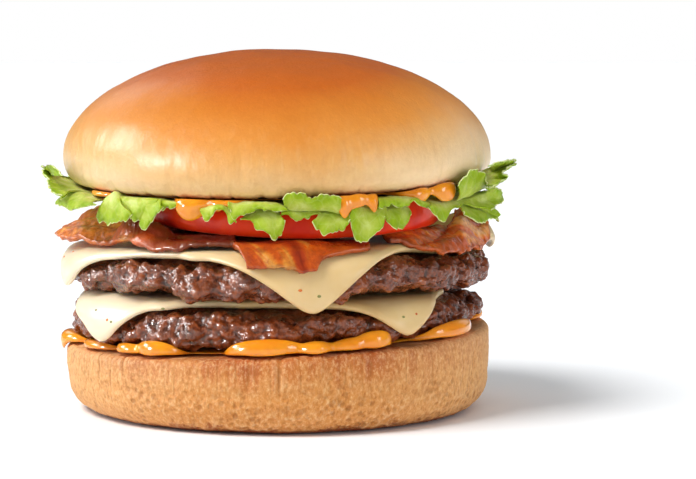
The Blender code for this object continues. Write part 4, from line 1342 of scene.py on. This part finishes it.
def leaf_middle(knots, azimuth, below_crown, seed, frill):
    """Rows of a leaf's middle surface from its heart out, with waves that grow towards the edge."""
    edge_radius = np.minimum(leaf_edge(knots, azimuth), LEAF_LIMIT)

    def level(r):
        return crown_bottom(*at(azimuth, r)) - below_crown

    start = edge_radius - LEAF_BEND
    corner = start + 0.85 * LEAF_BEND
    edge_height = level(edge_radius) - LEAF_FALL
    lean = math.atan2(LEAF_FALL, LEAF_BEND)
    places = np.stack([*at(azimuth, 30.0), 0 * azimuth], axis=1)
    phase = np.cumsum(360.0 / len(azimuth) * (1.0 + 0.5 * grain(places, 9.0, seed)))
    big = np.radians(phase * 62.0)
    wave = np.sin(big) + 0.45 * np.sin(big * 2.3 + 1.0)
    rows = []
    for share in np.concatenate([np.linspace(0, 0.55, 8)[:-1], np.linspace(0.55, 1.0, 26)]):
        t = np.clip((share - 0.55) / 0.45, 0.0, 1.0)
        if share < 0.55:
            r, z = start * share / 0.55, level(start * share / 0.55)
        else:
            r = (1 - t) ** 2 * start + 2 * t * (1 - t) * corner + t * t * edge_radius
            z = (1 - t) ** 2 * level(start) + 2 * t * (1 - t) * level(corner) + t * t * edge_height
        grow = frill * ease((t - 0.15) / 0.85) * ease((edge_radius - 47.0) / 3.0)
        r = r + grow * (0.75 * wave * math.sin(lean) + 0.35 * np.sin(big * 1.7 + 0.5))
        z = z + grow * 0.75 * wave * math.cos(lean)
        rows.append(np.stack([*at(azimuth + grow * 0.9 * np.cos(big), r), z], axis=1))
    return np.array(rows)


def seen_at(across, down, radius):
    """The azimuth and height of the point at a radius, on the front side, that the view shows at a place."""
    x, y = 0.0, -radius
    for _ in range(6):
        x = (across - VIEW_AXIS) * (VIEW_AWAY + y) / VIEW_LENS
        y = -math.sqrt(max(0.0, radius * radius - x * x))
    height = VIEW_HEIGHT - (down - VIEW_HORIZON) * (VIEW_AWAY + y) / VIEW_LENS
    return math.degrees(math.atan2(x, -y)), height


def side_frills(seed):
    """Frills round both sides and the back, by a rule with a seeded draw, as columns of two points."""
    draw = np.random.default_rng(seed)
    found = []
    azimuth = 92.0
    while azimuth < 262.0:
        width = draw.uniform(10.0, 17.0)
        kind = draw.integers(0, 3)
        fall = (draw.uniform(4.0, 7.0), -draw.uniform(1.5, 3.4), draw.uniform(0.5, 2.5))[kind]
        out = (51.8, 54.6, 56.2)[kind] + draw.uniform(-0.4, 0.6)
        lean = draw.uniform(-2.5, 2.5)
        columns = []
        for t in np.linspace(0.0, 1.0, 7):
            full = max(0.15, math.sin(math.pi * t) ** 0.6 * draw.uniform(0.75, 1.1))
            here = azimuth + width * t
            crease = 53.2 + 0.0005 * (50.0 * sin_deg(here)) ** 2 - (1.2 if kind == 0 else 0.0)
            edge = (here + lean * full, SIDE_CREASE + (out - SIDE_CREASE) * full, crease - fall * full)
            columns.append((here, SIDE_CREASE, crease, *edge))
        found.append(columns)
        azimuth += width * draw.uniform(0.62, 0.85)
    return found


def smooth_columns(columns, count):
    """Columns of numbers drawn out to more columns along a smooth line through them all."""
    table = np.array(columns, float)
    padded = np.vstack([2 * table[0] - table[1], table, 2 * table[-1] - table[-2]])
    found = []
    for place in np.linspace(0.0, len(table) - 1.0, count):
        k = min(int(place), len(table) - 2)
        t = place - k
        p0, p1, p2, p3 = padded[k : k + 4]
        second = (2 * p0 - 5 * p1 + 4 * p2 - p3) * t**2
        third = (3 * p1 - p0 - 3 * p2 + p3) * t**3
        found.append(0.5 * (2 * p1 + (p2 - p0) * t + second + third))
    return np.array(found)


def eased_between(first, last, t):
    """Points on the way from first to last, slow at both ends."""
    return first * (1 - t) ** 2 * (1 + 2 * t) + last * t**2 * (3 - 2 * t)


def make_frill(name, columns, seed):
    """One lobe of a leaf, from its root under the crown over its crease to its free edge."""
    count, rows = 15 * len(columns), 30
    line = smooth_columns(columns, count + 1)
    start_object()
    bpy.ops.mesh.primitive_grid_add(x_subdivisions=count, y_subdivisions=rows, size=2.0, calc_uvs=True)
    piece = place_primitive(bpy.context.object, name)
    unit = (read_points(piece) + 1.0) / 2.0
    column = np.rint(unit[:, 0] * count).astype(int)
    share = np.rint(unit[:, 1] * rows) / rows
    crease, edge = line[column, 0:3], line[column, 3:6]
    root = crease.copy()
    root[:, 1] = FRILL_ROOT
    root[:, 2] = crown_bottom(*at(crease[:, 0], FRILL_ROOT)) - 2.2
    t = np.clip((share - 0.3) / 0.7, 0.0, 1.0)[:, None]
    s = np.clip(share / 0.3, 0.0, 1.0)[:, None]
    swing = 0.30 * (edge - root)
    outer = eased_between(crease, edge, t) + swing * 2.0 * t * (1 - t) ** 2
    inner = eased_between(root, crease, s) - swing * (s**2) * (1 - s)
    polar = np.where(share[:, None] > 0.3, outer, inner)
    t = t[:, 0]
    wave = side_grain(polar[:, 0] * 0.9, polar[:, 2] * 0.3, 2.6, seed)
    fine = side_grain(polar[:, 0] * 0.9, polar[:, 2] * 0.3, 0.9, seed + 1)
    polar[:, 1] += 1.1 * wave * ease(t) + 0.25 * np.sin(np.pi * t)
    ahead = (edge - crease) / (np.linalg.norm((edge - crease)[:, 1:], axis=1)[:, None] + 1e-6)
    polar[:, 1:] += (0.9 * fine * ease(t * 2 - 1))[:, None] * ahead[:, 1:]
    x, y = at(polar[:, 0], polar[:, 1])
    write_points(piece, np.stack([x, y, polar[:, 2]], axis=1) * MM)
    store(piece, "leaf_share", 0.35 + 0.65 * share)
    roughen(piece, "CLOUDS", 2.4, 0.5, noise_depth=1)
    thicken(piece, FRILL_THICKNESS)
    return piece


def build_lettuce():
    """Builds both leaves and the frills round their edges."""
    settings = bpy.context.scene.burger_salad
    finish = lettuce_finish(settings)
    azimuth = ring_azimuths(LEAF_POINTS)
    lower, upper = leaf_knots()
    for name, node, knots, below, seed in (
        ("frilled_leaf_lower", "lettuce_lower", lower, LOWER_LEAF_MIDDLE, 3),
        ("frilled_leaf_upper", "lettuce_upper", upper, UPPER_LEAF_MIDDLE, 8),
    ):
        middle = leaf_middle(knots, azimuth, below, seed, 0.3)
        thick = np.full(middle.shape[:2], LEAF_THICKNESS)
        thick[-1] = 0.12
        piece = sheet_piece(name, node, middle, thick, "leaf_share")
        finish_piece(piece, finish, node)
    frills = []
    for crease_radius, edge_radius, columns in FRONT_FRILLS:
        placed = []
        for across, down, edge_across, edge_down in columns:
            first = seen_at(across, down, crease_radius)
            last = seen_at(edge_across, edge_down, edge_radius)
            placed.append((first[0], crease_radius, first[1], last[0], edge_radius, last[1]))
        frills.append(placed)
    frills += side_frills(12)
    for index, columns in enumerate(frills):
        piece = make_frill(f"leaf_frill_{index + 1:02d}", columns, index + 20)
        finish_piece(piece, finish, None)


def blob_at(blobs, azimuth):
    """How full the sauce is at an azimuth, from 0 to 1, and its radius, its fall and its rise there."""
    full, reach, low, high = 0.0, 0.0, 0.0, 0.0
    for middle, half, far, fall, rise in blobs:
        away = abs(turn_between(azimuth, middle)) / half
        share = math.sqrt(max(0.0, 1.0 - away * away))
        full = max(full, share)
        reach = max(reach, share * (far - SAUCE_START))
        low = max(low, share * share * fall)
        high = max(high, share * rise)
    return full, SAUCE_START + reach, low, high


def rounded(points, count):
    """A path with its corners rounded, as evenly spaced points."""
    path = np.array(points, float)
    for _ in range(3):
        ahead = path[:-1] * 0.75 + path[1:] * 0.25
        behind = path[:-1] * 0.25 + path[1:] * 0.75
        path = np.vstack([path[:1], np.stack([ahead, behind], axis=1).reshape(-1, 2), path[-1:]])
    length = lengths_along(path)
    wanted = np.linspace(0.0, length[-1], count)
    return np.stack([np.interp(wanted, length, path[:, i]) for i in (0, 1)], axis=1)


def upper_sauce_outline(azimuth, leaves):
    """The upper sauce's outline at an azimuth, as (radius, height) from its underside to its top."""
    full, out, low, high = blob_at(UPPER_SAUCE_BLOBS, azimuth)
    turns = np.array((-1.5, -0.7, 0.0, 0.7, 1.5)) + azimuth
    edges = [leaf_edge(leaf, turns).max() for leaf in leaves]
    past = min(max(edges), out - 1.8) + 1.0
    swollen = math.sqrt(min(1.0, max(0.0, (out - past - 0.5) / 1.2)))
    low, high = low * swollen, high * swollen
    if out < past + 0.5:
        out = 44.5
    inside = min(past, out - 0.9)

    def cut(r):
        return float(crown_bottom(*at(azimuth, r)))

    bottom = cut(out) - 0.35 - 0.75 * swollen
    outer = [
        (inside - 0.3, cut(inside) - 0.35 - 0.75 * swollen),
        (inside, bottom - 0.5 * low),
        ((inside + out) / 2, bottom - low),
        (out, bottom + 0.4 - 0.4 * low),
        (out - 0.5, cut(out) - GAP + high),
        (min(out - 0.75, 50.1), cut(min(out, 50.1)) - GAP + 0.2 * full),
        (min(out - 1.0, 47.6), cut(min(out - 1.0, 47.6)) - GAP),
    ]
    under = [(0.0, cut(0.0) - 1.1), (25.0, cut(25.0) - 1.1)]
    over = [(25.0, cut(25.0) - GAP), (0.0, cut(0.0) - GAP)]
    return np.vstack([under, rounded(outer, 34), over])


def lower_sauce_outline(azimuth):
    """The lower sauce's outline at an azimuth, as (radius, height) from its underside to its top."""
    reach, low, high = blob_at(LOWER_SAUCE_BLOBS, azimuth)[1:]
    outline = outline_at(lower_patty, azimuth)
    radius, _, bottom, _, top = outline
    rim, half, power = radius - PATTY_BULGE, (top - bottom) / 2, PATTY_SQUARENESS / 2.0

    def rest_at(r):
        return float(heel_top(*at(azimuth, r))) + GAP

    out = max(rim + 1.4, reach)
    rest = rest_at(out)
    crest = rest + max(0.6, high)
    rise = min(1.0, max(0.0, (bottom + half - crest) / (half + GAP))) ** power
    reached = min(1.0, max(0.0, (out - 0.6 - rim) / (PATTY_BULGE + GAP))) ** power
    last = -max(math.degrees(math.asin(rise)), math.degrees(math.acos(reached)))
    hanging = min(1.0, max(0.0, out - 53.6))
    outer = [
        (min(out - 0.8, 51.2), rest_at(min(out - 0.8, 51.2))),
        (min(out - 0.3, 53.5), rest + 0.1 - 0.35 * hanging),
        (min(out - 0.2, 53.8), rest + 0.2 - hanging * (low + 0.5)),
        (out, rest + 0.4 * (crest - rest) - hanging * low * 0.5),
        (out - 0.35, rest + 0.8 * (crest - rest)),
    ]
    outer += [bulge(outline, -90.0 + (last + 90.0) * share, GAP) for share in (1.0, 0.66, 0.33, 0.0)]
    under = [(0.0, HEEL_HEIGHT + GAP), (25.0, rest_at(25.0))]
    over = [(25.0, rest_at(25.0) + SAUCE_THICKNESS), (0.0, HEEL_HEIGHT + GAP + SAUCE_THICKNESS)]
    return np.vstack([under, rounded(outer, 34), over])


def build_sauce():
    """Pours the sauce on the heel and the sauce under the crown."""
    settings = bpy.context.scene.burger_salad
    finish = sauce_finish(settings)
    leaves = leaf_knots()
    for name, node, outline in (
        ("poured_sauce_lower", "sauce_lower", lower_sauce_outline),
        ("poured_sauce_upper", "sauce_upper", lambda turn: upper_sauce_outline(turn, leaves)),
    ):
        table = np.array([outline(turn) for turn in ring_azimuths(SAUCE_POINTS)])
        rows = [(table[:, i, 0], table[:, i, 1]) for i in range(table.shape[1])]
        piece = round_piece(name, node, rows)
        soften(piece, 8)
        finish_piece(piece, finish, node)


def aim(thing, target):
    """Turns a lamp or camera to look at a point."""
    direction = Vector(target) - thing.location
    thing.rotation_euler = direction.to_track_quat("-Z", "Y").to_euler()


def build_floor(colour):
    start_object()
    bpy.ops.mesh.primitive_circle_add(vertices=96, radius=8.0, fill_type="NGON", location=(0, 0, -0.0003))
    floor = place_primitive(bpy.context.object, "pale_floor")
    f = Finish("pale_floor", roughness=0.9, specular_ior_level=0.1)
    tint = f.mix(f.noise(400.0), colour, (0.955, 0.955, 0.955))
    floor.data.materials.append(f.connect(base_color=tint))


def build_lamps(key_strength):
    start_object()
    bpy.ops.object.light_add(type="SUN", location=(-0.57, -0.36, 0.92))
    key = bpy.context.object
    key.name = "window_light"
    key.data.energy = key_strength
    key.data.angle = math.radians(28)
    key.visible_glossy = False
    aim(key, (0.0, 0.0, 0.0))
    for name, place, size, energy, shine_only in (
        ("left_softbox", (-0.75, -0.12, 0.24), 0.22, 1.2, False),
        ("back_left_softbox", (-0.38, 0.68, 0.55), 0.34, 0.5, False),
        ("back_right_softbox", (0.55, 0.55, 0.30), 0.40, 0.3, False),
        ("right_fill", (0.75, -0.55, 0.20), 0.26, 1.6, False),
        ("high_glint", (-0.74, 0.12, 0.40), 0.30, 5.5, True),
        ("front_glint", (-0.78, -0.42, 0.14), 0.11, 8.5, True),
    ):
        bpy.ops.object.light_add(type="AREA", location=place)
        lamp = bpy.context.object
        lamp.name = name
        lamp.data.size = size
        lamp.data.energy = energy
        lamp.visible_diffuse = not shine_only
        aim(lamp, (0.0, 0.0, 0.05))


def build_sky(level):
    """A cool sky as a light, dimmer in reflections, and white paper where the camera looks."""
    world = bpy.data.worlds.new("white_studio")
    bpy.context.scene.world = world
    world.use_nodes = True
    w = Wiring(world.node_tree)
    up = w.add("SeparateXYZ", {"Vector": w.add("TexCoord").outputs["Generated"]}).outputs["Z"]
    low = (level * 1.21, level * 1.28, level * 1.36)
    high = (level * 0.97, level * 1.03, level * 1.10)
    seen = w.add("LightPath").outputs
    dimmed = w.add("MapRange", {"Value": seen["Is Glossy Ray"], "To Min": 1.0, "To Max": 0.22})
    sky = w.tree.nodes["Background"]
    w.feed(sky.inputs["Color"], w.ramp(up, ((0.0, low), (0.35, high))))
    w.feed(sky.inputs["Strength"], dimmed.outputs["Result"])
    paper = w.add("Background", {"Color": (1.0, 1.0, 1.0, 1.0)})
    shaders = {0: seen["Is Camera Ray"], 1: sky.outputs["Background"], 2: paper.outputs["Background"]}
    either = w.add("MixShader", shaders).outputs["Shader"]
    w.feed(w.tree.nodes["World Output"].inputs["Surface"], either)


def build_camera():
    camera_data = bpy.data.cameras.new("photo_view")
    camera_data.sensor_width = 36.0
    camera_data.lens = VIEW_LENS / VIEW_WIDTH * camera_data.sensor_width
    camera_data.clip_start = 0.01
    camera_data.clip_end = 50.0
    camera = bpy.data.objects.new("photo_view", camera_data)
    bpy.context.scene.collection.objects.link(camera)
    camera.location = (0.0, -VIEW_AWAY * MM, VIEW_HEIGHT * MM)
    turned = math.atan((VIEW_WIDTH / 2 - VIEW_AXIS) / VIEW_LENS)
    camera.rotation_euler = (math.radians(90 - VIEW_PITCH), 0.0, -turned)
    bpy.context.scene.camera = camera
    bpy.context.scene.view_settings.view_transform = "Standard"


def build_stage():
    settings = bpy.context.scene.burger_stage
    build_floor(settings.floor_colour)
    build_lamps(settings.key_strength)
    build_sky(settings.sky_strength)
    build_camera()


def length_setting(name, description, default):
    """A length that a user may change."""
    return bpy.props.FloatProperty(name=name, description=description, default=default, unit="LENGTH")


def colour_setting(name, description, default):
    """A colour that a user may change."""
    return bpy.props.FloatVectorProperty(
        name=name, description=description, default=default, subtype="COLOR"
    )


class BunSettings(bpy.types.PropertyGroup):
    radius: length_setting("Heel radius", "Radius of the bun's lower half", 0.0527)
    crown_radius: length_setting("Crown radius", "Radius of the bun's upper half", 0.0533)
    crown_colour: colour_setting("Crown top", "Baked colour of the crown's top", (0.53, 0.112, 0.006))
    heel_colour: colour_setting("Heel side", "Toasted colour of the heel's side", (0.62, 0.26, 0.07))


class FillingSettings(bpy.types.PropertyGroup):
    crag_depth: length_setting("Crag depth", "How deep a patty's edge is broken up", 0.0017)
    cheese_thickness: length_setting("Cheese thickness", "Thickness of a cheese slice", 0.0020)
    bacon_thickness: length_setting("Bacon thickness", "Thickness of a rasher", 0.0015)
    beef_colour: colour_setting("Beef", "Browned colour of the beef", (0.150, 0.026, 0.005))
    cheese_colour: colour_setting("Cheese", "Colour of the cheese", (0.69, 0.455, 0.18))
    bacon_colour: colour_setting("Bacon", "Colour of the lean streaks", (0.52, 0.055, 0.008))


class SaladSettings(bpy.types.PropertyGroup):
    lettuce_colour: colour_setting("Lettuce", "Green of the leaves", (0.30, 0.42, 0.014))
    tomato_colour: colour_setting("Tomato", "Red of the tomato's skin", (0.72, 0.018, 0.005))
    sauce_colour: colour_setting("Sauce", "Colour of the sauce", (0.92, 0.34, 0.012))


class StageSettings(bpy.types.PropertyGroup):
    floor_colour: colour_setting("Floor", "Colour of the floor", (0.96, 0.96, 0.96))
    key_strength: bpy.props.FloatProperty(
        name="Window light", description="Strength of the light from the upper left", default=2.6, min=0.0
    )
    sky_strength: bpy.props.FloatProperty(
        name="Sky", description="Brightness of the light from all round", default=0.44, min=0.0
    )


class BURGER_OT_heel(bpy.types.Operator):
    """Builds the bun's lower half."""

    bl_idname = "burger.heel"
    bl_label = "Toasted heel"

    def execute(self, context):
        build_heel()
        return {"FINISHED"}


class BURGER_OT_patties(bpy.types.Operator):
    """Builds the two browned patties."""

    bl_idname = "burger.patties"
    bl_label = "Beef patties"

    def execute(self, context):
        build_patties()
        return {"FINISHED"}


class BURGER_OT_cheese(bpy.types.Operator):
    """Builds the two melted cheese slices and their flecks."""

    bl_idname = "burger.cheese"
    bl_label = "Cheese slices"

    def execute(self, context):
        build_cheese()
        return {"FINISHED"}


class BURGER_OT_bacon(bpy.types.Operator):
    """Builds the three crisp rashers."""

    bl_idname = "burger.bacon"
    bl_label = "Bacon rashers"

    def execute(self, context):
        build_bacon()
        return {"FINISHED"}


class BURGER_OT_tomato(bpy.types.Operator):
    """Builds the tomato slice."""

    bl_idname = "burger.tomato"
    bl_label = "Tomato slice"

    def execute(self, context):
        build_tomato()
        return {"FINISHED"}


class BURGER_OT_lettuce(bpy.types.Operator):
    """Builds the two leaves and their frills."""

    bl_idname = "burger.lettuce"
    bl_label = "Lettuce leaves"

    def execute(self, context):
        build_lettuce()
        return {"FINISHED"}


class BURGER_OT_sauce(bpy.types.Operator):
    """Builds the sauce above and below the filling."""

    bl_idname = "burger.sauce"
    bl_label = "Sauce"

    def execute(self, context):
        build_sauce()
        return {"FINISHED"}


class BURGER_OT_crown(bpy.types.Operator):
    """Builds the bun's upper half."""

    bl_idname = "burger.crown"
    bl_label = "Glazed crown"

    def execute(self, context):
        build_crown()
        return {"FINISHED"}


class BURGER_OT_stage(bpy.types.Operator):
    """Builds the floor, the lights and the camera."""

    bl_idname = "burger.stage"
    bl_label = "Stage"

    def execute(self, context):
        build_stage()
        return {"FINISHED"}


STEPS = (
    BURGER_OT_heel,
    BURGER_OT_patties,
    BURGER_OT_cheese,
    BURGER_OT_bacon,
    BURGER_OT_tomato,
    BURGER_OT_lettuce,
    BURGER_OT_sauce,
    BURGER_OT_crown,
    BURGER_OT_stage,
)


class BURGER_PT_steps(bpy.types.Panel):
    """Lists the building steps in the sidebar."""

    bl_idname = "BURGER_PT_steps"
    bl_label = "Burger"
    bl_space_type = "VIEW_3D"
    bl_region_type = "UI"
    bl_category = "Burger"

    def draw(self, context):
        for step in STEPS:
            self.layout.operator(step.bl_idname)


GROUPS = (
    ("burger_bun", BunSettings),
    ("burger_filling", FillingSettings),
    ("burger_salad", SaladSettings),
    ("burger_stage", StageSettings),
)


def register():
    for name, group in GROUPS:
        bpy.utils.register_class(group)
        setattr(bpy.types.Scene, name, bpy.props.PointerProperty(type=group))
    for step in STEPS:
        bpy.utils.register_class(step)
    bpy.utils.register_class(BURGER_PT_steps)


def unregister():
    bpy.utils.unregister_class(BURGER_PT_steps)
    for step in reversed(STEPS):
        bpy.utils.unregister_class(step)
    for name, group in reversed(GROUPS):
        delattr(bpy.types.Scene, name)
        bpy.utils.unregister_class(group)


def main():
    register()
    for step in STEPS:
        group, name = step.bl_idname.split(".")
        getattr(getattr(bpy.ops, group), name)()


if __name__ == "__main__":
    main()
